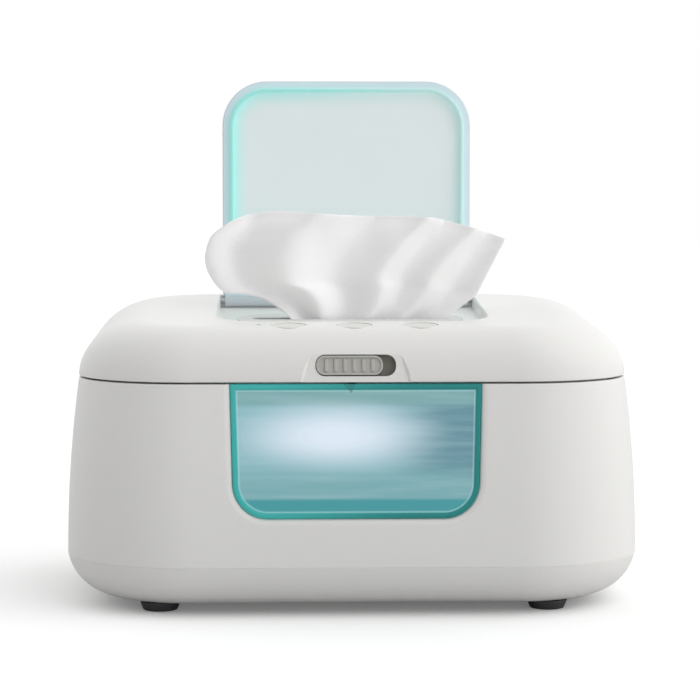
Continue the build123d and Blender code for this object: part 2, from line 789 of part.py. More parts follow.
with BuildPart() as slot_grommet:
    with BuildSketch(lid_top.offset(-seat_depth)):
        with Locations((0, slot_y)):
            SlotOverall(grommet_length, grommet_width)
            SlotOverall(slot_length, slot_width, mode=Mode.SUBTRACT)
    extrude(amount=grommet_thickness)
    with BuildSketch(lid_top.offset(-seat_depth)):
        with Locations((0, slot_y)):
            neck_length = port_length - 2 * slip_gap
            neck_width = port_width - 2 * slip_gap
            SlotOverall(neck_length, neck_width)
            SlotOverall(neck_length - 2 * grommet_neck, neck_width - 2 * grommet_neck, mode=Mode.SUBTRACT)
    extrude(amount=-(wall + grommet_neck_reach))
slot_grommet.part.label = "slot_grommet"

with BuildPart() as flap_pin:
    with BuildSketch(side_plane):
        with Locations((flap_axis.Y, flap_axis.Z)):
            Circle(flap_pin_radius)
    extrude(amount=flap_pin_length / 2, both=True)
flap_pin.part.label = "flap_pin"

# ======================= Buttons =======================

with BuildPart() as keypad_board:
    with BuildSketch(lid_top.offset(-keypad_drop)):
        with Locations((0, button_y)):
            RectangleRounded(keypad_width, keypad_depth, board_corner)
    extrude(amount=-keypad_thickness)
keypad_board.part.label = "keypad_board"

button_parts = []
dome_parts = []
for index, button_name in enumerate(button_names):
    button_x = (index - (len(button_names) - 1) / 2) * button_pitch
    with BuildPart() as button:
        with BuildSketch(lid_top.offset(-button_dip)):
            with Locations((button_x, button_y)):
                Circle(button_radius)
        extrude(amount=-(button_flange_drop + button_flange - button_dip))
        fillet(button.faces().sort_by(Axis.Z)[-1].edges(), button_edge_round)
        with BuildSketch(lid_top.offset(-button_flange_drop)):
            with Locations((button_x, button_y)):
                Circle(button_flange_radius)
        extrude(amount=-button_flange)
    button.part.label = "button_" + button_name
    button_parts.append(button.part)
    with BuildPart() as dome:
        with BuildSketch(lid_top.offset(-keypad_drop)):
            with Locations((button_x, button_y)):
                Circle(dome_radius)
        extrude(amount=keypad_drop - button_flange_drop - button_flange - fit_gap)
        with BuildSketch(lid_top.offset(-keypad_drop)):
            with Locations((button_x, button_y)):
                Circle(dome_radius - dome_wall)
        extrude(amount=keypad_drop - button_flange_drop - button_flange - fit_gap - dome_wall,
                mode=Mode.SUBTRACT)
    dome.part.label = "dome_" + button_name
    dome_parts.append(dome.part)

with BuildPart() as lamp_lens:
    with BuildSketch(lid_top.offset(-lens_dip)):
        with Locations((lens_x, button_y)):
            Circle(lens_radius)
    extrude(amount=-(keypad_drop - lens_dip - fit_gap))
lamp_lens.part.label = "lamp_lens"

# ======================= Slide latch =======================

grip_width = latch_slot_width - latch_travel - 2 * fit_gap
grip_x = -latch_travel / 2
carrier_width = latch_slot_width + latch_travel + 2 * carrier_overlap

with BuildPart() as latch_slider:
    with BuildSketch(latch_face.offset(-grip_dip)):
        with Locations((grip_x, 0)):
            RectangleRounded(grip_width, grip_height, grip_corner)
    extrude(amount=-(carrier_outside + fit_gap + carrier_thickness / 2 - grip_dip))
    with BuildSketch(latch_face.offset(-grip_dip)):
        with Locations((grip_x, 0)):
            with GridLocations(rib_pitch, 1, rib_count, 1):
                RectangleRounded(rib_width, rib_height, rib_corner)
            RectangleRounded(grip_width, grip_height, grip_corner)
            RectangleRounded(
                grip_width - 2 * rim_width, grip_height - 2 * rim_width, grip_corner - rim_width,
                mode=Mode.SUBTRACT)
            with GridLocations(rib_pitch, 1, rib_count, 1):
                RectangleRounded(rib_width, rib_height, rib_corner)
    extrude(amount=rib_rise)
    # Carrier that runs behind the lid's wall.
    with BuildSketch(latch_face.offset(-carrier_outside - fit_gap)):
        with Locations((grip_x, 0)):
            Rectangle(carrier_width, carrier_height)
    extrude(amount=-carrier_thickness)
latch_slider.part.label = "latch_slider"

with BuildPart() as latch_hook:
    with BuildSketch(latch_face.offset(-carrier_outside - fit_gap)):
        with BuildLine():
            carrier_foot = -carrier_height / 2
            shoulder = (hook_shoulder_height - latch_height) / cos(latch_tilt)
            tip = (hook_tip_height - latch_height) / cos(latch_tilt)
            hook_left = hook_right - hook_stem
            Polyline(
                (hook_right, carrier_foot), (hook_right, shoulder),
                (hook_left + hook_stem / 3, tip), (hook_left - hook_barb, shoulder - hook_nose),
                (hook_left - hook_barb, shoulder), (hook_left, shoulder),
                (hook_left, carrier_foot), close=True)
        make_face()
    extrude(amount=-carrier_thickness)
latch_hook.part.label = "latch_hook"

with BuildPart() as latch_guide:
    with BuildSketch(latch_face.offset(-carrier_outside - carrier_thickness - 2 * fit_gap)):
        with Locations((0, (guide_top + guide_bottom) / 2)):
            Rectangle(latch_block_width, guide_top - guide_bottom)
    extrude(amount=-guide_thickness)
latch_guide.part.label = "latch_guide"

# ======================= Flap =======================

flap_back = flap_axis.Y + flap_axis_drop
flap_top = flap_axis.Z + flap_length


def flap_outline(inset, bottom):
    """Upright outline of the flap, pushed in by an inset at the sides and the free end."""
    height = flap_top - inset - bottom
    with BuildSketch(Plane.XZ) as outline:
        with Locations((0, bottom + height / 2)):
            Rectangle(flap_width - 2 * inset, height)
        fillet(outline.vertices().group_by(Axis.Y)[-1], flap_corner - inset)
        fillet(outline.vertices().group_by(Axis.Y)[0], flap_foot_corner)
    return outline.sketch


with BuildPart() as flap_panel:
    with BuildSketch(Plane.XZ.offset(-flap_back)):
        add(flap_outline(0, flap_axis.Z + flap_foot))
    extrude(amount=flap_thickness)
    with BuildSketch(side_plane):
        with Locations((flap_axis.Y, flap_axis.Z)):
            Circle(flap_barrel_radius)
    extrude(amount=flap_width / 2 - barrel_end_gap, both=True)
    with BuildSketch(side_plane):
        with Locations((flap_axis.Y, flap_axis.Z)):
            Circle(flap_pin_radius + pin_gap)
    extrude(amount=flap_width / 2, both=True, mode=Mode.SUBTRACT)
flap_panel.part.label = "flap_panel"

with BuildPart() as flap_seal:
    with BuildSketch(Plane.XZ.offset(-(flap_back - flap_thickness))):
        add(flap_outline(seal_inset, flap_axis.Z + seal_hinge_gap))
        add(flap_outline(seal_inset + seal_width, flap_axis.Z + seal_hinge_gap + seal_width),
            mode=Mode.SUBTRACT)
    extrude(amount=seal_height)
flap_seal.part.label = "flap_seal"

# ======================= Wipe =======================

slot_middle = lid_top.from_local_coords(Vector(0, slot_y, -seat_depth + grommet_thickness / 2))

# Each fold is (sideways place at the slot, sideways place at the top, depth at the top), from
# left to right. A minus depth is a ridge towards the front. At the slot the folds are pressed flat.
wipe_folds = (
    (-26, -68, 0), (-21, -41, 9), (-12, -15, -9), (-3, 13, 9), (8, 35, -8),
    (16, 45, 1), (24, 57, -6), (34, 63, 2), (43, 74, -2))


def wipe_section(rise, spread):
    """Cross-section of the folded wipe: a thin wavy band, wider and deeper the more it spreads."""
    pressed = slot_width / 2 - wipe_pinch_gap - wipe_thickness / 2
    centre_line = []
    for slot_x, top_x, depth in wipe_folds:
        pressed_depth = pressed if depth > 0 else -pressed
        x = slot_x + (top_x - slot_x) * spread
        y = slot_middle.Y + pressed_depth + (depth - pressed_depth) * spread
        centre_line.append((x, y))
    half = wipe_thickness / 2
    front = [(x, y - half) for x, y in centre_line]
    back = [(x, y + half) for x, y in centre_line]
    with BuildSketch(Plane.XY.offset(slot_middle.Z + rise)) as section:
        with BuildLine():
            FilletPolyline(*front, radius=wipe_fold_round)
            Line(front[-1], back[-1])
            FilletPolyline(*back, radius=wipe_fold_round)
            Line(back[0], front[0])
        make_face()
    return section.sketch


with BuildPart() as wipe:
    loft(sections=[
        wipe_section(-wipe_bottom_drop, 0),
        wipe_section(wipe_slot_rise, 0),
        wipe_section(wipe_middle_rise, 0.62),
        wipe_section(wipe_top_rise, 1)])
    # Front outline of the pulled sheet: a rounded left end, a wavy top and a sharp right corner.
    with BuildSketch(Plane(origin=(0, -body_depth / 2, slot_middle.Z), x_dir=(1, 0, 0), z_dir=(0, -1, 0))):
        with BuildLine():
            Polyline((wipe_left, -wipe_bottom_drop), (wipe_left, -0.5), (-37.4, 9.8), (-46, 12.9))
            ThreePointArc((-46, 12.9), (-64.7, 27.5), (-55, 43.9))
            ThreePointArc((-55, 43.9), (-35, 49.3), (4.8, 47))
            ThreePointArc((4.8, 47), (32.9, 47.2), (70.1, 36.6))
            Polyline((70.1, 36.6), (57.4, 11.2), (wipe_right, -0.5), (wipe_right, -wipe_bottom_drop),
                     (wipe_left, -wipe_bottom_drop))
        make_face()
    extrude(amount=-body_depth, mode=Mode.INTERSECT)
wipe.part.label = "wipe"

# ======================= Files =======================

pieces = [
    housing.part, window_panel.part, base_pan.part, feet.part, base_screws.part,
    lid_hinge_pins.part, inner_tub.part, heater_plate.part, heating_film.part,
    insulation_pad.part, thermal_cutout.part, control_board.part, board_components.part,
    power_inlet.part, inlet_pin.part, light_board.part, light_chips.part, light_cover.part,
    lid_shell.part, lid_liner.part, lid_gasket.part, lid_screws.part, slot_grommet.part,
    flap_pin.part, keypad_board.part, lamp_lens.part, latch_slider.part, latch_hook.part,
    latch_guide.part, flap_panel.part, flap_seal.part, wipe.part] + button_parts + dome_parts

os.makedirs("parts", exist_ok=True)
for piece in pieces:
    export_step(piece, "parts/" + piece.label + ".step")
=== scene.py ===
"""Baby wipe warmer: finished surfaces, cloth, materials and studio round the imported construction.

The frame is the construction's: X right, Y back, Z up, origin on the floor. Shapes are worked out in
millimetres and made in metres, and shader values are metres. The casing, lid, window, flap, latch,
keys and their domes, tub, feet and wipe are surfaces worked out here. The other pieces keep their
solids and get their finishes.
"""

from math import cos, pi, radians, sin, tan
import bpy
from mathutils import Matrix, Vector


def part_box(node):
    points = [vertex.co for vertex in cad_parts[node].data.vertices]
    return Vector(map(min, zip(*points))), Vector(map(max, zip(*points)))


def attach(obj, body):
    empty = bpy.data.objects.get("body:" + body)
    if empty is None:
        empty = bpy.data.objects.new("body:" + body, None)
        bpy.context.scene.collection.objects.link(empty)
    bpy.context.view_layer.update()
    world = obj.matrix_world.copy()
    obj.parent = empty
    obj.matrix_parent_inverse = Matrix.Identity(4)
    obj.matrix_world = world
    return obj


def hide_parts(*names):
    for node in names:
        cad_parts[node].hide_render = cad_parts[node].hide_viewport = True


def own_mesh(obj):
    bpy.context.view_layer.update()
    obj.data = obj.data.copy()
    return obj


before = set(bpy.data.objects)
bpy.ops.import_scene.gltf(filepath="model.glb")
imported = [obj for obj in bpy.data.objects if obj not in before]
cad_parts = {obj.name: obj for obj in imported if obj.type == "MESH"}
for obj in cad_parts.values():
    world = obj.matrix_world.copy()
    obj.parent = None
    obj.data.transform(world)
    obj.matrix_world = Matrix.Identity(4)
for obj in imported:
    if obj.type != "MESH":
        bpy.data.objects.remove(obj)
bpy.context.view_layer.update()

from types import SimpleNamespace

import bmesh
import bpy
import numpy as np
from bpy.props import FloatProperty, PointerProperty, StringProperty
from bpy.types import Operator, Panel, PropertyGroup

bl_info = {
    "name": "Baby Wipe Warmer",
    "version": (1, 0, 0),
    "blender": (4, 5, 0),
    "location": "View3D > Sidebar > Warmer",
    "description": "Builds the finished pieces, materials and studio of a baby wipe warmer",
    "category": "Object",
}

MM = 0.001


def length(name, millimetres, description):
    """A length property with its default in millimetres."""
    return FloatProperty(
        name=name, default=millimetres * MM, unit="LENGTH", description=description)


def degrees(name, value, description):
    """An angle property with its default in degrees."""
    return FloatProperty(
        name=name, default=radians(value), subtype="ANGLE", description=description)


def colour(name, value, description):
    """A colour property that holds an sRGB hex value."""
    return StringProperty(name=name, default=value, description=description)


# ======================= Sizes and colours =======================

casing_low, casing_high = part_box("housing")
pan_low, pan_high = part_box("base_pan")
pane_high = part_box("window_panel")[1]
flap_low, flap_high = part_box("flap_panel")


class CasingSizes(PropertyGroup):
    """Sizes of the casing and its window."""

    width: length("Width", (casing_high[0] - casing_low[0]) / MM, "Across the crease, the widest level")
    depth: length("Depth", (pan_high[1] - pan_low[1]) / MM, "From front to back at the crease")
    corner: length("Plan corner", 55, "Corner radius of the plan at the crease")
    underside: length("Underside height", pan_low[2] / MM, "Height of the underside over the floor")
    crease: length("Crease height", 22, "Where the wall meets the rounded base")
    parting: length("Parting height", pane_high[2] / MM, "Top edge of the casing")
    lean: length("Wall lean", 5.3, "How far the wall has leaned in at the parting line")
    wall: length("Wall", 2.5, "Wall of the casing and the lid")
    base_lean: degrees("Base lean", 15, "How far the base turns in at the crease")
    base_round: length("Base round", 22, "Radius between the base's side and the underside")
    edge: length("Edge round", 0.45, "Radius of the moulded edges at the parting line")
    window_top: length("Window top width", 106, "Width of the window at the parting line")
    window_sill_width: length("Window sill width", 103, "Width of the window at its sill")
    window_sill: length("Window sill height", 42.7, "Height of the window's lower edge")
    window_corner: length("Window corner", 14.5, "Radius of the window's lower corners")
    window_flare: length("Window flare", 3.2, "Width of the soft edge of the casing round the window")


class LidSizes(PropertyGroup):
    """Sizes of the lid, its seat and its slot."""

    gap: length("Parting gap", 0.8, "Gap between the casing and the lid")
    rise: length("Rise", 27.2, "From the lid's lower edge to its top, over the origin")
    slope: degrees("Slope", 3.7, "How far the top falls towards the front")
    side_round: length("Side round", 31, "How far the sides draw in up to the top")
    front_round: length("Front round", 17, "How far the front draws in up to the top")
    rear_round: length("Rear round", 28, "How far the back draws in up to the top")
    corner_draw: length("Corner draw", 26, "How much smaller the plan corner gets up to the top")
    seat_depth: length("Seat depth", 6, "Depth of the flap's seat")
    seat_lip: length("Seat lip", 0.9, "Radius of the edge round the flap's seat")
    slot_y: length("Slot place", -4, "Middle of the dispensing slot along the lid's top")


class FlapSizes(PropertyGroup):
    """Sizes of the flap and its seal."""

    width: length("Width", (flap_high[0] - flap_low[0]) / MM, "Width of the flap")
    corner: length("Corner", 21, "Radius of the corners at the free end")
    thickness: length("Thickness", 2.2, "Thickness of the flap")
    axis_y: length("Axis place", 53.0573, "Depth of the hinge axis")
    axis_z: length("Axis height", 127.8256, "Height of the hinge axis")
    axis_drop: length("Axis drop", 2.6, "From the flap's outer face to the hinge axis")
    barrel: length("Barrel radius", 2.5, "Radius of the hinge barrel")
    seal_inset: length("Seal inset", 3.6, "From the flap's edge to the seal")
    seal_width: length("Seal width", 1.6, "Width of the seal")
    seal_height: length("Seal height", 3.2, "How far the seal stands out of the flap")


class ControlSizes(PropertyGroup):
    """Sizes of the slide latch and the buttons."""

    latch_lean: degrees("Latch lean", 9.5, "Lean of the latch's face")
    slot_width: length("Latch slot width", 34, "Width of the latch's slot")
    slot_height: length("Latch slot height", 9.2, "Height of the latch's slot")
    slot_corner: length("Latch slot corner", 4.2, "Radius of the slot's ends")
    travel: length("Latch travel", 5.3, "How far the slider runs")
    grip_height: length("Grip height", 8.2, "Height of the slider's grip")
    grip_corner: length("Grip corner", 3.7, "Radius of the grip's ends")
    rib_pitch: length("Rib pitch", 3.9, "From one rib of the grip to the next")
    button_radius: length("Button radius", 7.5, "Radius of the buttons")
    button_pitch: length("Button pitch", 28.3, "From one button to the next")
    button_y: length("Button place", -63.5, "Row of the buttons along the lid's top")


class Finishes(PropertyGroup):
    """Colours of the finishes."""

    shell: colour("Shell", "#F1F0EE", "White ABS of the casing and the lid")
    teal: colour("Window", "#8FBDC6", "Tinted polycarbonate of the window")
    # Painted glow: the night light's light, painted into the window's colour.
    glow: colour("Night light", "#E7F3FF", "Glow of the night light in the window")
    frost: colour("Flap", "#E2EAEA", "Frosted polycarbonate of the flap")
    seal: colour("Seal", "#A2EFE9", "Silicone of the flap's seal")
    grip: colour("Latch", "#C2C1BC", "Grey ABS of the slider")
    keys: colour("Buttons", "#E6E5E2", "Silicone-coated keys")
    cloth: colour("Wipe", "#F9F8F8", "Nonwoven cloth of the wipe")
    foot: colour("Feet", "#3E3E40", "Rubber of the feet")


# ======================= Surfaces =======================

class Plane:
    """A flat frame: u runs along x_axis, v along y_axis and w along the normal, from the origin."""

    def __init__(self, origin, x_axis, normal):
        self.origin = np.array(origin, float)
        self.x_axis = np.array(x_axis, float)
        self.normal = np.array(normal, float)
        self.y_axis = np.cross(self.normal, self.x_axis)

    def at(self, u, v, w):
        """Points origin + u x_axis + v y_axis + w normal, for arrays that broadcast."""
        u, v, w = np.broadcast_arrays(u, v, w)
        return (self.origin + u[..., None] * self.x_axis + v[..., None] * self.y_axis
                + w[..., None] * self.normal)


FLOOR_PLANE = Plane((0, 0, 0), (1, 0, 0), (0, 0, 1))
FRONT_PLANE = Plane((0, 0, 0), (1, 0, 0), (0, -1, 0))
SIDE_PLANE = Plane((0, 0, 0), (0, 1, 0), (1, 0, 0))


def rounded_loop(half_u, half_v, corners, arc=12, straight=8):
    """Loop of a rounded rectangle: each corner is a quarter circle of its radius about
    (±(half_u − r), ±(half_v − r)), and each side between two corners is cut into even steps.
    Corners go anticlockwise from (+u, +v)."""
    radius = np.broadcast_to(np.asarray(corners, float), 4)
    signs = np.array([[1, 1], [-1, 1], [-1, -1], [1, -1]])
    centres = signs * (np.array([half_u, half_v]) - radius[:, None])
    turn = (np.arange(arc + 1) / arc + np.arange(4)[:, None]) * pi / 2
    round_points = centres[:, None] + radius[:, None, None] * np.stack([np.cos(turn), np.sin(turn)], -1)
    start, end = round_points[:, -1:], np.roll(round_points, -1, axis=0)[:, :1]
    steps = (np.arange(1, straight) / straight)[:, None]
    return np.concatenate([round_points, start + steps * (end - start)], axis=1).reshape(-1, 2)


def circle_loop(radius, count=48):
    """Loop of a circle: (r cos t, r sin t)."""
    turn = np.arange(count) / count * 2 * pi
    return radius * np.stack([np.cos(turn), np.sin(turn)], -1)


def edge_profile(radius, steps=4):
    """Quarter circle of a rounded edge as (inset, drop) pairs, from (0, r) on the side to (r, 0) on top."""
    turn = np.linspace(0, pi / 2, steps + 1)
    return np.stack([radius * (1 - np.cos(turn)), radius * (1 - np.sin(turn))], -1)


def grid_quads(rows, columns, wrap_rows):
    """Quads of a grid whose columns close on themselves, and whose rows may too."""
    row = np.arange(rows if wrap_rows else rows - 1)[:, None]
    column = np.arange(columns)[None, :]
    next_row, next_column = (row + 1) % rows, (column + 1) % columns
    corners = (row * columns + column, row * columns + next_column,
               next_row * columns + next_column, next_row * columns + column)
    return np.stack([np.broadcast_to(c, (len(row), columns)) for c in corners], -1).reshape(-1, 4)


def mesh_of(name, grid, ring=False):
    """Closed mesh of a (rows, columns, 3) grid of loops in millimetres. A ring joins its last row to its first;
    otherwise each end is closed by a fan round its middle."""
    rows, columns = grid.shape[:2]
    points = grid.reshape(-1, 3) * MM
    faces = grid_quads(rows, columns, ring).tolist()
    if not ring:
        points = np.concatenate([points, grid[[0, -1]].mean(axis=1) * MM])
        around = np.arange(columns)
        ahead = (around + 1) % columns
        last = (rows - 1) * columns
        first_pole, last_pole = rows * columns, rows * columns + 1
        faces += np.stack([ahead, around, np.full(columns, first_pole)], -1).tolist()
        faces += np.stack([last + around, last + ahead, np.full(columns, last_pole)], -1).tolist()
    mesh = bpy.data.meshes.new(name)
    mesh.from_pydata(points.tolist(), [], faces)
    face_outwards(mesh)
    return mesh


def face_outwards(mesh):
    """Turns every face of a closed mesh outwards."""
    shape = bmesh.new()
    shape.from_mesh(mesh)
    bmesh.ops.recalc_face_normals(shape, faces=shape.faces)
    shape.to_mesh(mesh)
    shape.free()


def loops_on(plane, loops):
    """Grid of loops on a plane, each given as (loop of (u, v), w)."""
    return np.stack([plane.at(loop[:, 0], loop[:, 1], w) for loop, w in loops])


def block(name, plane, half_u, half_v, corner, top, bottom, edge=0.0, centre=(0, 0), foot=0.0, arc=8,
          straight=4):
    """Closed block with a rounded rectangle as its plan, from w = bottom to w = top. Its top edge is
    a quarter circle of radius edge, and its bottom edge one of radius foot."""
    profile = []
    for inset, drop in (edge_profile(foot)[::-1] if foot else [(0, 0)]):
        profile.append((inset, bottom + drop))
    for inset, drop in (edge_profile(edge) if edge else [(0, 0)]):
        profile.append((inset, top - drop))
    loops = []
    for inset, w in profile:
        radius = np.maximum(np.asarray(corner, float) - inset, 0.01)
        loops.append((rounded_loop(half_u - inset, half_v - inset, radius, arc, straight) + centre, w))
    return mesh_of(name, loops_on(plane, loops))


def turned(name, plane, profile, centre=(0, 0), count=48):
    """Closed solid of revolution about the plane's normal through centre: (radius, w) pairs from one
    end to the other."""
    return mesh_of(name, loops_on(plane, [(circle_loop(r, count) + centre, w) for r, w in profile]))


def prism(name, plane, outline, low, high):
    """Closed prism of an outline of (u, v) points, from w = low to w = high."""
    outline = np.asarray(outline, float)
    return mesh_of(name, loops_on(plane, [(outline, low), (outline, high)]))


def joined(name, meshes):
    """One mesh that holds several, which are then gone."""
    points, faces, start = [], [], 0
    for mesh in meshes:
        count = len(mesh.vertices)
        flat = np.empty(count * 3)
        mesh.vertices.foreach_get("co", flat)
        points.append(flat.reshape(-1, 3))
        faces += [[start + i for i in polygon.vertices] for polygon in mesh.polygons]
        start += count
        bpy.data.meshes.remove(mesh)
    whole = bpy.data.meshes.new(name)
    whole.from_pydata(np.concatenate(points).tolist(), [], faces)
    return whole


def worked(mesh, *steps):
    """The mesh after boolean steps, each given as (operation, tool mesh)."""
    target = bpy.data.objects.new("work", mesh)
    bpy.context.scene.collection.objects.link(target)
    tools = []
    for operation, tool_mesh in steps:
        tool = bpy.data.objects.new("tool", tool_mesh)
        bpy.context.scene.collection.objects.link(tool)
        modifier = target.modifiers.new(operation, "BOOLEAN")
        modifier.operation = operation
        modifier.solver = "EXACT"
        modifier.object = tool
        tools.append(tool)
    bpy.context.view_layer.update()
    done = bpy.data.meshes.new_from_object(target.evaluated_get(bpy.context.evaluated_depsgraph_get()))
    for spent in [target, *tools]:
        spent_mesh = spent.data
        bpy.data.objects.remove(spent)
        bpy.data.meshes.remove(spent_mesh)
    if not done.polygons:
        raise RuntimeError("a boolean step left nothing")
    return done


def piece(name, mesh, material, body, replaces, sharp=34):
    """A finished piece: smooth except at edges over the sharp angle, on its body, standing for its nodes."""
    mesh.name = name
    mesh.shade_smooth()
    mesh.set_sharp_from_angle(angle=radians(sharp))
    mesh.materials.clear()
    mesh.materials.append(material)
    made = bpy.data.objects.new(name, mesh)
    bpy.context.scene.collection.objects.link(made)
    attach(made, body)
    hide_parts(*replaces)
    return made


def weigh_normals(made):
    """Keeps large flat faces even where small rounded ones meet them."""
    modifier = made.modifiers.new("weighted normals", "WEIGHTED_NORMAL")
    modifier.keep_sharp = True


# ======================= Materials =======================

def linear(hex_value):
    """Linear colour of an sRGB hex value such as #F1F0EE."""
    srgb = np.array([int(hex_value[i:i + 2], 16) for i in (1, 3, 5)]) / 255
    channels = np.where(srgb <= 0.04045, srgb / 12.92, ((srgb + 0.055) / 1.055) ** 2.4)
    return (*(float(c) for c in channels), 1.0)


def add_node(tree, kind, settings=None, **inputs):
    """Adds a node with its settings. An input is a value or another node's output, and its
    underscores stand for spaces; i0, i1 and so on are inputs by number."""
    node = tree.nodes.new(kind)
    for key, value in (settings or {}).items():
        setattr(node, key, value)
    for key, value in inputs.items():
        is_number = key[0] == "i" and key[1:].isdigit()
        socket = node.inputs[int(key[1:])] if is_number else node.inputs[key.replace("_", " ")]
        if isinstance(value, bpy.types.NodeSocket):
            tree.links.new(value, socket)
        else:
            socket.default_value = value
    return node


def new_material(name):
    """An empty node material, its tree, and its output node."""
    material = bpy.data.materials.new(name)
    material.use_nodes = True
    tree = material.node_tree
    tree.nodes.clear()
    return material, tree, tree.nodes.new("ShaderNodeOutputMaterial")


def ramp(tree, value, start, end, low=0.0, high=1.0):
    """Smooth step of a value: low where it reaches start, high where it reaches end."""
    return add_node(tree, "ShaderNodeMapRange", {"interpolation_type": "SMOOTHSTEP"}, Value=value,
                    From_Min=start, From_Max=end, To_Min=low, To_Max=high).outputs["Result"]


def arithmetic(tree, operation, first, second):
    """Result of a math node on two values."""
    return add_node(tree, "ShaderNodeMath", {"operation": operation}, i0=first, i1=second).outputs[0]


def layered(tree, start, layers):
    """Colours laid over each other: each layer is (cover from 0 to 1, hex colour or colour output)."""
    below = linear(start) if isinstance(start, str) else start
    for cover, above in layers:
        over = linear(above) if isinstance(above, str) else above
        below = add_node(tree, "ShaderNodeMix", {"data_type": "RGBA"}, i0=cover, i6=below, i7=over).outputs[2]
    return below


def grained(name, base, shade, grain, roughness, relief, spread=0.05, **shader):
    """A surface with a fine grain: noise whose features are grain metres wide mixes base with shade,
    moves the roughness by spread and raises a relief in metres."""
    material, tree, output = new_material(name)
    place = add_node(tree, "ShaderNodeTexCoord").outputs["Object"]
    noise = add_node(tree, "ShaderNodeTexNoise", Vector=place, Scale=1 / grain, Detail=3.0)
    tone = layered(tree, base, [(noise.outputs["Fac"], shade)])
    gloss = add_node(tree, "ShaderNodeMapRange", Value=noise.outputs["Fac"],
                     To_Min=roughness - spread, To_Max=roughness + spread)
    bump = add_node(tree, "ShaderNodeBump", Height=noise.outputs["Fac"], Distance=relief, Strength=1.0)
    skin = add_node(tree, "ShaderNodeBsdfPrincipled", Base_Color=tone,
                    Roughness=gloss.outputs["Result"], Normal=bump.outputs["Normal"], **shader)
    tree.links.new(skin.outputs["BSDF"], output.inputs["Surface"])
    return material


class Materials:
    """Every material of the object, made once and kept by name."""

    made = {}

    @classmethod
    def get(cls, name, make):
        if name not in cls.made:
            cls.made[name] = make()
        return cls.made[name]


def white_abs():
    """White ABS, injection moulded against a satin-polished tool: a soft sheen and a faint even grain."""
    return Materials.get("white_abs", lambda: grained(
        "White_ABS_moulded", finishes().shell, "#ECEBE8", grain=0.9 * MM, roughness=0.34,
        relief=0.006 * MM, spread=0.04, IOR=1.5))


def slider_abs():
    """Grey ABS of the slider's grip: a duller satin than the casing's, so its ribs keep soft highlights."""
    return Materials.get("slider_abs", lambda: grained(
        "ABS_grey_moulded", finishes().grip, "#B7B6B0", grain=0.7 * MM, roughness=0.42, relief=0.006 * MM))


def carrier_abs():
    """ABS behind the slider, dull, its dark brown-grey colour painted shade so the open end of the slot reads
    dark and warm.
    """
    return Materials.get("carrier_abs", lambda: grained(
        "ABS_painted_slot_shade", "#7D7A71", "#6E6B63", grain=0.7 * MM, roughness=0.45, relief=0.006 * MM))


def key_coating():
    """Silicone coating of the keys: nearly matt, and a shade greyer than the lid round them."""
    return Materials.get("key_coating", lambda: grained(
        "Silicone_coated_key", finishes().keys, "#DEDDD9", grain=0.8 * MM, roughness=0.5, relief=0.006 * MM))


def dome_silicone():
    """Clear grey silicone of the keypad's domes: matt, with a faint grain from the mould."""
    return Materials.get("dome_silicone", lambda: grained(
        "Silicone_dome_clear_grey", "#C9CCCB", "#BDC1C0", grain=0.8 * MM, roughness=0.6, relief=0.01 * MM))


def foot_rubber():
    """Black moulded rubber: matt and a little uneven, greyer where its skin is worn."""
    return Materials.get("foot_rubber", lambda: grained(
        "Rubber_moulded", finishes().foot, "#4A4A4C", grain=0.5 * MM, roughness=0.7, relief=0.02 * MM,
        spread=0.08))


def tub_plastic():
    """Moulded polypropylene of the tub: waxy, and a little cooler than the casing's ABS."""
    return Materials.get("tub_plastic", lambda: grained(
        "Polypropylene_tub", "#E6E8E6", "#DDE0DE", grain=1.2 * MM, roughness=0.38, relief=0.008 * MM))


def finishes():
    """The scene's colours."""
    return bpy.context.scene.warmer_finishes


def sizes_of(group):
    """A property group's values: lengths in millimetres, angles in radians."""
    owner = getattr(bpy.context.scene, "warmer_" + group)
    listed = [p for p in owner.bl_rna.properties if p.identifier not in ("rna_type", "name")]
    return SimpleNamespace(**{
        p.identifier: getattr(owner, p.identifier) / (MM if p.unit == "LENGTH" else 1) for p in listed})


# ======================= Casing =======================

# Clearance of a loose fit.
slip = 0.15
# Lid hinge: its axis (y, z), the lid's and the base's knuckles along it, their radius, the room cut
# round them, their bore, their half lengths and the room beside them.
hinge_place, hinge_x, knuckle_step = (85.0, 99.4), 62.0, 11.3
lid_knuckles = (-hinge_x, hinge_x)
base_knuckles = [x + step for x in lid_knuckles for step in (-knuckle_step, knuckle_step)]
knuckle_radius, knuckle_room, knuckle_bore, bore_half = 3.4, 3.9, 1.55, 18.0
base_knuckle_half, lid_knuckle_half, side_room = 4.0, 7.0, 0.3
# Ledge that carries the tub: its underside, its top, and how far it stands in from the wall.
ledge_low, ledge_high, ledge_reach = 88.5, 91.0, 6.0
# Power inlet (x, z) and its bore's radius.
inlet_place, inlet_radius = (-70.0, 36.0), 4.35
# Screw posts of the base (x, y), their radius and foot, and the screws' head, seat and shank.
screw_places = [(x, y) for x in (-97, 97) for y in (-30, 30)]
post_radius, post_foot = 4.0, 4.6
head_radius, head_seat, shank_radius = 3.15, 7.3, 1.65
foot_places = [(x, y) for x in (-83.5, 83.5) for y in (-60, 60)]


def wall_lean_at(height, sizes):
    """How far the wall has leaned in: lean × ((z − crease) / (parting − crease))²."""
    return sizes.lean * ((height - sizes.crease) / (sizes.parting - sizes.crease)) ** 2


def plan_loop(inset, sizes, arc=24, straight=28):
    """The crease's plan pushed in by an inset, which makes its corners smaller by as much."""
    return rounded_loop(sizes.width / 2 - inset, sizes.depth / 2 - inset, sizes.corner - inset, arc, straight)


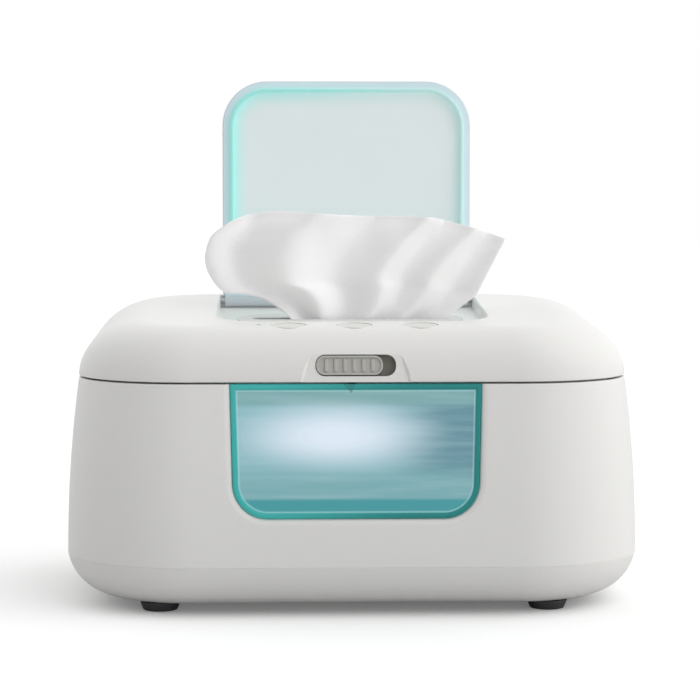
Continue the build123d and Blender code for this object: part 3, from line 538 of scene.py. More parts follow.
def wall_rings(sizes):
    """Closed section of the casing's wall: up the leaning outside, over the rounded rim and down the inside."""
    low, high, edge = sizes.crease, sizes.parting, sizes.edge
    heights = np.linspace(low, high, 30)[1:-1]
    rim = edge_profile(edge)
    outside = [(inset, low + drop) for inset, drop in edge_profile(edge / 2)[::-1]]
    outside += [(wall_lean_at(z, sizes), z) for z in heights if low + edge < z < high - edge]
    outside += [(wall_lean_at(high - drop, sizes) + inset, high - drop) for inset, drop in rim]
    inner_rim = [(wall_lean_at(high - drop, sizes) + sizes.wall - inset, high - drop)
                 for inset, drop in rim[::-1]]
    ledge_inset = wall_lean_at(ledge_high, sizes) + sizes.wall
    inside = [(wall_lean_at(z, sizes) + sizes.wall, z) for z in heights[::-1] if ledge_high < z < high - edge]
    inside += [(ledge_inset, ledge_high), (ledge_inset + ledge_reach, ledge_high),
               (ledge_inset + ledge_reach, ledge_low), (ledge_inset, ledge_low)]
    inside += [(wall_lean_at(z, sizes) + sizes.wall, z) for z in heights[::-1] if z < ledge_low]
    return outside + inner_rim + inside + [(sizes.wall, low)]


def window_loop(gap, sizes, arc=12, straight=18, over=0.0):
    """The window's U closed along its top: sides that lean from the sill's width to the top's, and
    quarter-round lower corners. A gap makes it smaller, a minus gap larger, and over lifts its top."""
    sill, top = sizes.window_sill + gap, sizes.parting - max(gap - slip, 0) + over
    middle = (sizes.window_top + sizes.window_sill_width) / 4
    low_corner = max(sizes.window_corner - gap, 0.4)
    loop = rounded_loop(middle - gap, (top - sill) / 2, (0.3, 0.3, low_corner, low_corner), arc, straight)
    z = loop[:, 1] + (top + sill) / 2
    share = (z - sizes.window_sill) / (sizes.parting - sizes.window_sill)
    half = (sizes.window_sill_width + (sizes.window_top - sizes.window_sill_width) * share) / 2 - gap
    return np.stack([loop[:, 0] * half / (middle - gap), z], -1)


def window_surface(name, sizes, steps, over=0.0):
    """Closed mesh over the window's loops: each step is (gap, depth behind the wall's face), where the
    face lies at y = −(depth / 2 − lean(z))."""
    rows = []
    for gap, behind in steps:
        loop = window_loop(gap, sizes, over=over)
        face = -(sizes.depth / 2 - wall_lean_at(loop[:, 1], sizes))
        rows.append(np.stack([loop[:, 0], face + behind, loop[:, 1]], -1))
    return mesh_of(name, np.stack(rows))


def rounded_brink(width, depth, steps=8):
    """Soft edge of an opening as (widening, depth) pairs: a quarter ellipse width × depth that stops
    just short of the face, then runs on out of it."""
    stop, overshoot, widening, clear = radians(80), 0.08, 1.05, 3.0
    turn = np.linspace(0, stop, steps)
    brink = [(width * (1 - cos(t)), depth * (1 - sin(t))) for t in turn]
    return brink + [(width, -overshoot * depth), (width * widening, -clear)]


def bars(name, radius, half_length, places):
    """Bars along X on the hinge axis: circles of one radius, each run half_length either side of its place."""
    return joined(name, [
        turned(name, SIDE_PLANE, [(radius, x - half_length), (radius, x + half_length)], hinge_place, 40)
        for x in places])


def knuckles(name, start, end, foot, half_length, places):
    """Hinge knuckles: an arc of the knuckle's circle from one angle to another, and the points of its foot."""
    turn = np.linspace(radians(start), radians(end), 26)
    arc = np.array(hinge_place) + knuckle_radius * np.stack([np.cos(turn), np.sin(turn)], -1)
    outline = np.concatenate([arc, np.array(hinge_place) + foot])
    return joined(name, [prism(name, SIDE_PLANE, outline, x - half_length, x + half_length) for x in places])


def pan_steps(inset, sizes):
    """Side of the base as (inset, z): it leans in at the base lean, then follows a circle into the bottom."""
    radius = sizes.base_round - inset
    bottom = sizes.underside + inset
    corner = inset + (sizes.crease - bottom) * tan(sizes.base_lean)
    centre = corner + radius * tan((pi / 2 - sizes.base_lean) / 2)
    turn = np.linspace(sizes.base_lean, pi / 2, 18)
    return [(centre - radius * cos(t), bottom + radius * (1 - sin(t))) for t in turn]


class WARMER_OT_casing(Operator):
    """Casing with its window opening and knuckles, and the base under it"""

    bl_idname = "warmer.casing"
    bl_label = "Casing and base"

    def execute(self, context):
        s = sizes_of("casing")
        shell = mesh_of("casing", loops_on(
            FLOOR_PLANE, [(plan_loop(inset, s), z) for inset, z in wall_rings(s)]), ring=True)
        flare_depth, reveal_depth, over_rim, rear_span = 1.4, 15.0, 3.0, (-95, -80)
        brink = [(-wide, behind) for wide, behind in rounded_brink(s.window_flare, flare_depth)]
        opening = window_surface("opening", s, [(0, reveal_depth)] + brink, over=over_rim)
        inlet = turned("inlet", FRONT_PLANE, [(inlet_radius, w) for w in rear_span], inlet_place)
        notches = bars("notches", knuckle_room, lid_knuckle_half + side_room, lid_knuckles)
        own = knuckles("own", 0, 180, [(-3.4, -9.0), (-0.6, -9.0)], base_knuckle_half, base_knuckles)
        shell = worked(shell, ("DIFFERENCE", opening), ("DIFFERENCE", joined("cuts", [inlet, notches])),
                       ("UNION", own), ("DIFFERENCE", bars("bores", knuckle_bore, bore_half, lid_knuckles)))
        weigh_normals(piece("casing", shell, white_abs(), "base", ["housing"]))

        inner, outer = pan_steps(s.wall, s), pan_steps(0, s)
        brim_edge, bore_low, bore_high = 0.3, 3, 24
        rim = [(s.wall, s.crease)]
        rim += [(inset, s.crease - drop) for inset, drop in edge_profile(brim_edge)[::-1]]
        rings = inner[::-1] + rim + outer
        pan = mesh_of("pan", loops_on(FLOOR_PLANE, [(plan_loop(inset, s), z) for inset, z in rings]))
        post = [(post_radius, post_foot), (post_radius, s.crease)]
        bore = [(head_radius, bore_low), (head_radius, head_seat), (shank_radius, head_seat),
                (shank_radius, bore_high)]
        posts = joined("posts", [turned("post", FLOOR_PLANE, post, place) for place in screw_places])
        bores = joined("bores", [turned("bore", FLOOR_PLANE, bore, place) for place in screw_places])
        pan = worked(pan, ("UNION", posts), ("DIFFERENCE", bores))
        weigh_normals(piece("base_shell", pan, white_abs(), "base", ["base_pan"]))
        return {"FINISHED"}


# ======================= Window =======================

def edge_distance(across, up, half_across, half_up, corner):
    """Distance in from the edge of a rounded rectangle: r − |max(q, 0)| − min(max(q), 0), where
    q = |p| − half + r."""
    q = np.stack([np.abs(across) - half_across + corner, np.abs(up) - half_up + corner], -1)
    return corner - np.linalg.norm(np.maximum(q, 0), axis=-1) - np.minimum(q.max(axis=-1), 0)


def mark_edge(mesh, distance):
    """Writes each point's distance from the piece's edge, in metres, as the attribute edge."""
    flat = np.empty(len(mesh.vertices) * 3)
    mesh.vertices.foreach_get("co", flat)
    points = flat.reshape(-1, 3) / MM
    layer = mesh.attributes.new("edge", "FLOAT", "POINT")
    layer.data.foreach_set("value", (distance(points) * MM).astype(np.float32))


def hook_tip(tree, x, z):
    """Cover of the latch hook's dark tip, seen through the window's top edge: a triangle that widens
    upwards from its point, faded by the distance in from the nearer of its two sides."""
    tip_x, tip_z, tip_high, left_run, right_run = -0.0017, 0.0949, 0.0037, 0.0033, 0.0013
    up = add_node(tree, "ShaderNodeMapRange", {"clamp": False}, Value=z, From_Min=tip_z,
                  From_Max=tip_z + tip_high).outputs["Result"]
    off = arithmetic(tree, "SUBTRACT", x, tip_x)
    way_back = arithmetic(tree, "MULTIPLY", off, -1.0)
    from_left, from_right = (
        add_node(tree, "ShaderNodeMath", {"operation": "MULTIPLY_ADD"}, i0=up, i1=run, i2=side).outputs[0]
        for run, side in ((left_run, off), (right_run, way_back)))
    return ramp(tree, arithmetic(tree, "MINIMUM", from_left, from_right), -0.0001, 0.0005, high=0.6)


def lit_window():
    """Tinted polycarbonate over a night light: gloss, a painted bluish-white glow of the night light over the
    upper middle and a painted glow emitted by the whole pane, greyer to the right, a deeper tint in the thick
    rim and along the sill, a painted shadow along the top, a painted highlight inside the rim, and the hook's
    dark tip."""
    material, tree, output = new_material("Polycarbonate_teal_lit")
    place = add_node(tree, "ShaderNodeTexCoord").outputs["Object"]
    apart = add_node(tree, "ShaderNodeSeparateXYZ", Vector=place)
    x, z = apart.outputs["X"], apart.outputs["Z"]
    edge = add_node(tree, "ShaderNodeAttribute", {"attribute_name": "edge"}).outputs["Fac"]
    # Painted glow: the night light's light, painted on the pane as a pale ellipse over its upper middle.
    glow_x, glow_z, glow_wide, glow_high = -0.0088, 0.0775, 0.042, 0.0145
    centred = add_node(tree, "ShaderNodeMapping", Vector=place, Scale=(1 / glow_wide, 0, 1 / glow_high),
                       Location=(-glow_x / glow_wide, 0, -glow_z / glow_high))
    away = add_node(tree, "ShaderNodeVectorMath", {"operation": "LENGTH"}, i0=centred.outputs["Vector"])
    glow = ramp(tree, away.outputs["Value"], 0.12, 1.25, low=0.97, high=0.0)
    drawn = add_node(tree, "ShaderNodeMapping", Vector=place, Scale=(14, 1, 190))
    streaks = add_node(tree, "ShaderNodeTexNoise", Vector=drawn.outputs["Vector"], Scale=1.6, Detail=3.0)
    streaked = add_node(tree, "ShaderNodeMapRange", Value=streaks.outputs["Fac"],
                        From_Min=0.45, From_Max=0.75, To_Min=0.0, To_Max=0.35).outputs["Result"]
    to_right, lower = ramp(tree, x, 0.004, 0.042), ramp(tree, z, 0.068, 0.056)
    # top is a painted shadow: a darker band along the pane's top, where the lid's lip shades the inside.
    sill, top = ramp(tree, z, 0.0518, 0.0500), ramp(tree, z, 0.0890, 0.0912)
    # step is a painted highlight: a pale line just inside the rim, where the pane's inner edge catches light.
    rim, step = ramp(tree, edge, 0.0027, 0.0022), ramp(tree, edge, 0.0034, 0.0029, high=0.55)
    rim_colour = layered(tree, "#35A8A4", [(ramp(tree, x, -0.045, 0.03), "#107C7A")])
    tint = layered(tree, finishes().teal, [
        (to_right, "#6794A2"), (lower, "#7CB0B6"), (top, "#7FADB0"), (streaked, "#A9CDD4"),
        (glow, finishes().glow), (sill, "#459CA3"), (step, "#A6DADB"), (rim, rim_colour),
        (hook_tip(tree, x, z), "#2F6E70")])
    # The pane emits its own colour: a painted glow of the night light behind it.
    skin = add_node(tree, "ShaderNodeBsdfPrincipled", Base_Color=tint, Roughness=0.22, IOR=1.58,
                    Specular_IOR_Level=0.35, Emission_Color=tint, Emission_Strength=0.22)
    tree.links.new(skin.outputs["BSDF"], output.inputs["Surface"])
    return material


class WARMER_OT_window(Operator):
    """Window panel with a raised rim and the latch's keeper"""

    bl_idname = "warmer.window"
    bl_label = "Window"

    def execute(self, context):
        s = sizes_of("casing")
        field, back, middle = 0.5, 2.4, 25.0
        keeper_place, keeper_half, keeper_front, keeper_back = (-5.7, 97.2), (3.0, 1.1), 82.0, 78.8
        steps = [(gap, back) for gap in (middle, 18, 12, 6, 2, slip)]
        steps += [(slip, 0.5), (slip + 0.15, 0.12), (slip + 0.5, 0.0), (1.2, 0.0), (2.0, 0.0), (2.3, 0.1),
                  (2.5, field)]
        steps += [(gap, field) for gap in (3.2, 5, 8, 12, 16, 20, middle)]
        pane = window_surface("pane", s, steps)
        keeper = block("keeper", FRONT_PLANE, *keeper_half, 0.3, keeper_front, keeper_back, edge=0.15,
                       centre=keeper_place, arc=3)
        pane = worked(pane, ("UNION", keeper))
        middle_z = (s.window_sill + s.parting) / 2

        def distance(points):
            half = (s.window_sill_width + (s.window_top - s.window_sill_width)
                    * (points[:, 2] - s.window_sill) / (s.parting - s.window_sill)) / 2
            corner = np.where(points[:, 2] < middle_z, s.window_corner, 0.3)
            return edge_distance(points[:, 0], points[:, 2] - middle_z, half,
                                 (s.parting - s.window_sill) / 2, corner)

        mark_edge(pane, distance)
        piece("window", pane, Materials.get("window", lit_window), "base", ["window_panel"], 40)
        return {"FINISHED"}


# ======================= Lid =======================

# The flap's seat on the lid's top: front, rear, half width, and corner radii with the rear ones first.
seat_front, seat_rear, seat_half, seat_corners = -51.6, 56.5, 59.7, (1.2, 1.2, 22.2, 22.2)
# Opening under the grommet: half sizes, corner, and its depths below the lid's top.
port_half, port_corner, port_high, port_low = (47, 15), 14.95, -5.0, -12.0
# Room round a key, the indicator lens's place and bore, and how far cutters stand out of the lid.
key_room, lamp_x, lamp_bore, cut_above = 0.3, -41, 1.25, 3.0
# Middle of the latch's face, and round it, from there: the lid's thick wall and the chamber behind the
# slot, each from its low to its high corner, then the slot's floor and reach and the scoop's reach.
latch_place = (0, -81.96, 106.8)
backing_low, backing_high = (-33, -4, -5.0), (33, 10, 6)
chamber_low, chamber_high = (-30, -30, -5.3), (30, 6.6, -2.9)
slot_floor, slot_reach, scoop_reach = -3.2, 2, 5


def lid_plane(turn, lid, casing, drop=0.0):
    """Plane of one lid outline: it climbs and tilts with the sine of the turn."""
    height = casing.parting + lid.gap + (lid.rise - drop) * sin(turn)
    tilt = lid.slope * sin(turn)
    return Plane((0, 0, height), (1, 0, 0), (0, -sin(tilt), cos(tilt)))


def lid_row(turn, lid, casing, inset=0.0, edge_inset=0.0, lift=0.0):
    """One outline of the lid: its sides, front and back draw in with 1 − cos(turn)."""
    draw, edge = 1 - cos(turn), casing.lean + inset + edge_inset
    front = casing.depth / 2 - edge - lid.front_round * draw
    rear = casing.depth / 2 - edge - lid.rear_round * draw
    half = casing.width / 2 - edge - lid.side_round * draw
    loop = rounded_loop(half, (front + rear) / 2, casing.corner - edge - lid.corner_draw * draw, 22, 26)
    plane = lid_plane(turn, lid, casing, inset)
    return plane.at(loop[:, 0], loop[:, 1] + (rear - front) / 2, lift)


def seat_loop(margin):
    """The flap's seat, or the wall round it: large corners in front, small ones behind."""
    front, rear, half = seat_front - margin, seat_rear + margin, seat_half + margin
    corners = np.array(seat_corners) + margin
    return rounded_loop(half, (rear - front) / 2, corners, 12, 10) + (0, (rear + front) / 2)


def latch_plane(controls):
    """Plane of the latch's face on the front of the lid."""
    return Plane(latch_place, (1, 0, 0), (0, -cos(controls.latch_lean), sin(controls.latch_lean)))


def box_between(name, plane, low, high):
    """Plain box on a plane between two corners (u, v, w)."""
    outline = [(low[0], low[1]), (high[0], low[1]), (high[0], high[1]), (low[0], high[1])]
    return prism(name, plane, outline, low[2], high[2])


class WARMER_OT_lid(Operator):
    """Lid with the flap's seat, the latch's scoop, the holes for the keys and its knuckles"""

    bl_idname = "warmer.lid"
    bl_label = "Lid"

    def execute(self, context):
        s, lid, c = sizes_of("casing"), sizes_of("lid"), sizes_of("controls")
        turns = np.linspace(radians(2.2), pi / 2, 36)
        rim = [lid_row(0, lid, s, 0, inset, drop) for inset, drop in edge_profile(s.edge)[::-1]]
        outer = mesh_of("lid", np.stack(rim + [lid_row(t, lid, s) for t in turns]))
        inner = mesh_of("hollow", np.stack(
            [lid_row(0, lid, s, s.wall, 0, -3.0)] + [lid_row(t, lid, s, s.wall) for t in turns[::2]]
            + [lid_row(pi / 2, lid, s, s.wall)]))
        top, face = lid_plane(pi / 2, lid, s), latch_plane(c)
        seat_floor = -(lid.seat_depth + s.wall)
        seat_block = mesh_of("seat", loops_on(
            top, [(seat_loop(s.wall), seat_floor), (seat_loop(s.wall), cut_above)]))
        latch_block = box_between("latch", face, backing_low, backing_high)
        inner = worked(inner, ("DIFFERENCE", seat_block), ("DIFFERENCE", latch_block))
        seat_steps = [(0, -lid.seat_depth)]
        seat_steps += [(wide, -down) for wide, down in rounded_brink(lid.seat_lip, lid.seat_lip)]
        seat = mesh_of("seat", loops_on(top, [(seat_loop(margin), w) for margin, w in seat_steps]))
        port = block("port", top, *port_half, port_corner, port_high, port_low, centre=(0, lid.slot_y), arc=16)
        key_hole = [(c.button_radius + key_room, -6.5), (c.button_radius + key_room, cut_above)]
        holes = [turned("hole", top, key_hole, (step * c.button_pitch, c.button_y)) for step in (-1, 0, 1)]
        holes.append(turned("hole", top, [(lamp_bore, -6), (lamp_bore, cut_above)], (lamp_x, c.button_y), 24))
        holes = joined("holes", holes)
        scoop_floor = np.array([(-23.2, -10), (23.2, -10), (18.6, 5.6), (-18.6, 5.6)], float)
        scoop_mouth = np.array([(-29.5, -10), (29.5, -10), (24.5, 7.6), (-24.5, 7.6)], float)
        scoop = mesh_of("scoop", loops_on(face, [(scoop_floor, 0), (scoop_mouth, scoop_reach)]))
        slot = block("slot", face, c.slot_width / 2, c.slot_height / 2, c.slot_corner, slot_reach, slot_floor)
        chamber = box_between("chamber", face, chamber_low, chamber_high)
        notches = bars("notches", knuckle_room, base_knuckle_half + side_room, base_knuckles)
        own = knuckles("own", 180, 405, [(-2.0, 9.0), (-3.4, 9.0)], lid_knuckle_half, lid_knuckles)
        shell = worked(
            outer, ("DIFFERENCE", inner), ("DIFFERENCE", seat), ("DIFFERENCE", port), ("DIFFERENCE", holes),
            ("DIFFERENCE", scoop), ("DIFFERENCE", slot), ("DIFFERENCE", chamber), ("DIFFERENCE", notches),
            ("UNION", own), ("DIFFERENCE", bars("bores", knuckle_bore, bore_half, lid_knuckles)))
        weigh_normals(piece("lid_skin", shell, white_abs(), "lid", ["lid_shell"]))
        return {"FINISHED"}


# ======================= Flap =======================

def flap_loop(inset, top, bottom, half, corner):
    """The flap's upright outline pushed in by an inset: large corners at its free end."""
    high, low = top - inset, bottom + inset
    corners = np.maximum(np.array([corner, corner, 2.0, 2.0]) - inset, 0.4)
    return rounded_loop(half - inset, (high - low) / 2, corners, 14, 16) + (0, (high + low) / 2)


def frosted():
    """Frosted polycarbonate: soft and milky, with a painted cyan glow of the seal near it, grey-blue at the
    rim, and a painted glow for the light coming through it.
    """
    material, tree, output = new_material("Polycarbonate_frosted")
    place = add_node(tree, "ShaderNodeTexCoord").outputs["Object"]
    apart = add_node(tree, "ShaderNodeSeparateXYZ", Vector=place)
    edge = add_node(tree, "ShaderNodeAttribute", {"attribute_name": "edge"}).outputs["Fac"]
    # Painted glow: the seal's cyan light spilling into the flap near the seal, stronger to the left.
    left, near = ramp(tree, apart.outputs["X"], 0.03, -0.058, low=0.25), ramp(tree, edge, 0.013, 0.004)
    seal_glow_spill = arithmetic(tree, "MULTIPLY", left, near)
    low = ramp(tree, apart.outputs["Z"], 0.185, 0.15, high=0.45)
    rim, brink = ramp(tree, edge, 0.0036, 0.0024), ramp(tree, edge, 0.0007, 0.0002)
    cloud = add_node(tree, "ShaderNodeTexNoise", Vector=place, Scale=26.0, Detail=2.0)
    clouded = add_node(tree, "ShaderNodeMapRange", Value=cloud.outputs["Fac"], From_Min=0.35, From_Max=0.7,
                       To_Max=0.35).outputs["Result"]
    tint = layered(tree, finishes().frost, [
        (clouded, "#DCE3E5"), (low, "#D2E4E6"), (seal_glow_spill, "#BDECE9"), (rim, "#D2E2E8"), (brink, "#BFC8CD")])
    grit = add_node(tree, "ShaderNodeTexNoise", Vector=place, Scale=1800.0)
    bump = add_node(tree, "ShaderNodeBump", Height=grit.outputs["Fac"], Distance=0.000012, Strength=1.0)
    # The flap emits its colour: a painted glow standing in for light coming through it.
    skin = add_node(tree, "ShaderNodeBsdfPrincipled", Base_Color=tint, Roughness=0.5, IOR=1.58,
                    Transmission_Weight=0.1, Emission_Color=tint, Emission_Strength=0.2,
                    Normal=bump.outputs["Normal"])
    tree.links.new(skin.outputs["BSDF"], output.inputs["Surface"])
    return material


def seal_silicone():
    """Cyan silicone, moulded: soft satin, with a painted glow for the light it scatters in its thin lip,
    the glow painted paler to the right.
    """
    material, tree, output = new_material("Silicone_cyan_moulded")
    place = add_node(tree, "ShaderNodeTexCoord").outputs["Object"]
    apart = add_node(tree, "ShaderNodeSeparateXYZ", Vector=place)
    # Painted light: the seal's glow is brightest cyan at the left and fades paler to the right.
    right = ramp(tree, apart.outputs["X"], -0.03, 0.055, high=0.8)
    mottle = add_node(tree, "ShaderNodeTexNoise", Vector=place, Scale=400.0)
    faint = add_node(tree, "ShaderNodeMapRange", Value=mottle.outputs["Fac"], To_Max=0.25).outputs["Result"]
    tint = layered(tree, finishes().seal, [(right, "#CBE8E8"), (faint, "#D5F3F1")])
    # The seal emits its colour: a painted glow for light scattered in the lip.
    skin = add_node(tree, "ShaderNodeBsdfPrincipled", Base_Color=tint, Roughness=0.5, IOR=1.41,
                    Emission_Color=tint, Emission_Strength=0.12)
    tree.links.new(skin.outputs["BSDF"], output.inputs["Surface"])
    return material


class WARMER_OT_flap(Operator):
    """Frosted flap with its barrel, and the seal inside its edge"""

    bl_idname = "warmer.flap"
    bl_label = "Flap"

    def execute(self, context):
        f = sizes_of("flap")
        foot_rise, seal_rise, round_edge, side_play, barrel_edge = 1.9, 7.0, 0.7, 1.0, 0.3
        top, bottom, half = flap_high[2] / MM, f.axis_z + foot_rise, f.width / 2
        back = -(f.axis_y + f.axis_drop)
        front = back + f.thickness
        edge = edge_profile(round_edge)
        steps = [(inset, back) for inset in (26, 16, 9, 5, 2.5)]
        steps += [(inset, back + drop) for inset, drop in edge[::-1]]
        steps += [(inset, front - drop) for inset, drop in edge]
        steps += [(inset, front) for inset in (1.2, 2.5, 3.6, 5, 9, 16, 26)]
        panel = mesh_of("panel", loops_on(
            FRONT_PLANE, [(flap_loop(inset, top, bottom, half, f.corner), w) for inset, w in steps]))
        barrel_end = half - side_play
        barrel = turned("barrel", SIDE_PLANE, [
            (f.barrel - barrel_edge, -barrel_end), (f.barrel, barrel_edge - barrel_end),
            (f.barrel, barrel_end - barrel_edge), (f.barrel - barrel_edge, barrel_end)],
            (f.axis_y, f.axis_z), 40)
        panel = worked(panel, ("UNION", barrel))
        middle = (top + bottom) / 2

        def distance(points):
            corner = np.where(points[:, 2] > middle, f.corner, 2.0)
            return edge_distance(points[:, 0], points[:, 2] - middle, half, (top - bottom) / 2, corner)

        mark_edge(panel, distance)
        piece("flap", panel, Materials.get("frosted", frosted), "flap", ["flap_panel"])

        tip = front + f.seal_height
        wide = f.seal_width
        section = [(0, front), (0, tip - 0.5), (0.12, tip - 0.15), (0.45, tip), (wide - 0.45, tip),
                   (wide - 0.12, tip - 0.15), (wide, tip - 0.5), (wide, front)]
        seal_bottom = f.axis_z + seal_rise - f.seal_inset
        ring = mesh_of("ring", loops_on(FRONT_PLANE, [
            (flap_loop(f.seal_inset + inset, top, seal_bottom, half, f.corner), w) for inset, w in section]),
            ring=True)
        piece("flap_lip", ring, Materials.get("seal", seal_silicone), "flap", ["flap_seal"])
        return {"FINISHED"}


# ======================= Latch, keys and feet =======================

class WARMER_OT_controls(Operator):
    """Slide latch with its ribbed grip and carrier, and the three keys over their domes"""

    bl_idname = "warmer.controls"
    bl_label = "Latch and keys"

    def execute(self, context):
        s, lid, c = sizes_of("casing"), sizes_of("lid"), sizes_of("controls")
        face, top = latch_plane(c), lid_plane(pi / 2, lid, s)
        end_room, carrier_half, carrier_back = 0.6, (21.65, 6.3), -4.7
        half_u, half_v, middle = (c.slot_width - c.travel - end_room) / 2, c.grip_height / 2, -c.travel / 2
        dip, rise, rim, root = -0.3, 0.4, 0.9, -0.9
        grip = block("grip", face, half_u, half_v, c.grip_corner, dip, slot_floor, centre=(middle, 0))
        carrier = box_between(
            "carrier", face, (middle - carrier_half[0], -carrier_half[1], carrier_back),
            (middle + carrier_half[0], carrier_half[1], slot_floor))
        edge = edge_profile(0.3)
        section = [(0, root)] + [(inset, rise - drop) for inset, drop in edge]
        section += [(rim - inset, rise - drop) for inset, drop in edge[::-1]] + [(rim, root)]
        border = mesh_of("border", loops_on(face, [
            (rounded_loop(half_u - inset, half_v - inset, c.grip_corner - inset, 8, 4) + (middle, 0), w)
            for inset, w in section]), ring=True)
        rib_count, rib_half, rib_corner, rib_edge = 6, (0.75, 2.7), 0.7, 0.35
        ribs = [block("rib", face, *rib_half, rib_corner, rise, root, rib_edge,
                      (middle + (k - (rib_count - 1) / 2) * c.rib_pitch, 0)) for k in range(rib_count)]
        grip = worked(grip, ("UNION", joined("raised", [border] + ribs)))
        piece("latch_grip", grip, slider_abs(), "latch", ["latch_slider"])
        # The carrier's dark brown-grey is painted shade in the open end of the slot.
        piece("latch_carrier", carrier, carrier_abs(), "latch", ["latch_slider"])

        # Sections as (radius, w): a key's flange, side, rounded edge and dished face, and a dome's
        # underside, hollow, foot, side and crown.
        radius, flange = c.button_radius, c.button_radius + 0.7
        profile = [(flange, -5.8), (flange, -4.6), (radius, -4.6)]
        profile += [(radius - inset, -0.25 - drop) for inset, drop in edge_profile(0.5)]
        profile += [(5.6, -0.29), (4.0, -0.36), (2.2, -0.41), (0.6, -0.43)]
        dome_foot = -9.9
        dome_section = [(0.4, -7.1), (2.7, -7.1), (3.0, -7.4), (3.0, dome_foot), (4.0, dome_foot), (4.0, -6.6),
                        (3.85, -6.25), (3.5, -6.1), (0.4, -6.1)]
        for name, place in (("power", -1), ("light", 0), ("heat", 1)):
            centre = (place * c.button_pitch, c.button_y)
            key = turned("key", top, profile, centre, 56)
            piece("key_" + name, key, key_coating(), "button_" + name, ["button_" + name])
            dome = turned("dome", top, dome_section, centre, 32)
            dome = piece("dome_of_" + name, dome, dome_silicone(), "lid", ["dome_" + name])
            foot = top.at(*centre, dome_foot) * MM
            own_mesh(dome)
        return {"FINISHED"}


class WARMER_OT_feet(Operator):
    """Four tapered rubber feet"""

    bl_idname = "warmer.feet"
    bl_label = "Feet"

    def execute(self, context):
        profile = [(6.6, 0), (7.15, 0.12), (7.5, 0.5), (8.6, 3.2), (8.75, 3.7), (8.75, 4.0), (3.0, 4.0),
                   (3.0, 5.6)]
        shapes = joined("feet", [turned("foot", FLOOR_PLANE, profile, place) for place in foot_places])
        piece("rubber_feet", shapes, foot_rubber(), "base", ["feet"])
        return {"FINISHED"}


class WARMER_OT_tub(Operator):
    """Heated tub with its flange"""

    bl_idname = "warmer.tub"
    bl_label = "Tub"

    def execute(self, context):
        s = sizes_of("casing")
        half_x, half_y, corner, wall, inner_round, bottom, rim_high = 108, 70, 30, 1.8, 5, 34.0, 93.0

        def tub_loop(inset):
            return rounded_loop(half_x - inset, half_y - inset, max(corner - inset, 2), 24, 28)

        def inside_at(turn):
            return (tub_loop(wall + inner_round * (1 - cos(turn))),
                    bottom + wall + inner_round * (1 - sin(turn)))

        flange = wall_lean_at(ledge_high, s) + s.wall + 1.6
        loops = [(tub_loop(2.0), bottom), (tub_loop(0.5), bottom + 0.5), (tub_loop(0), bottom + 2),
                 (tub_loop(0), ledge_high), (plan_loop(flange, s), ledge_high),
                 (plan_loop(flange, s), rim_high - 0.4), (plan_loop(flange + 0.4, s), rim_high),
                 (tub_loop(1.0), rim_high), (tub_loop(wall), rim_high - 0.8)]
        loops += [inside_at(turn) for turn in np.linspace(0, pi / 2, 8)]
        body = mesh_of("tub", loops_on(FLOOR_PLANE, loops))
        weigh_normals(piece("tub", body, tub_plastic(), "base", ["inner_tub"]))
        return {"FINISHED"}


# ======================= Wipe =======================

# Folds from left to right: sideways place in the slot, sideways place at the top, depth at the top.
folds = np.array([
    (-26, -68, 0), (-21, -41, 9), (-12, -15, -9), (-3, 13, 9), (8, 35, -8),
    (16, 44, 3), (24, 56, -7), (34, 63, 4), (43, 74, -3)], float)
# Middle of the slot (y, z), then (x, height over it) of the sheet's lower and upper corners.
slot_middle = (-3.656, 121.553)
low_left, low_right, top_left, top_right = (-25.6, -12.5), (41.5, -12.5), (-55.0, 43.9), (70.1, 36.6)


def through(knots, at):
    """A smooth line through (t, a, b) knots: straight from knot to knot, then each point evened out with its
    neighbours eight times."""
    knots = np.asarray(knots, float)
    line = np.stack([np.interp(at, knots[:, 0], knots[:, k]) for k in (1, 2)], -1)
    for _ in range(8):
        line[1:-1] = (line[:-2] + 2 * line[1:-1] + line[2:]) / 4
    return line


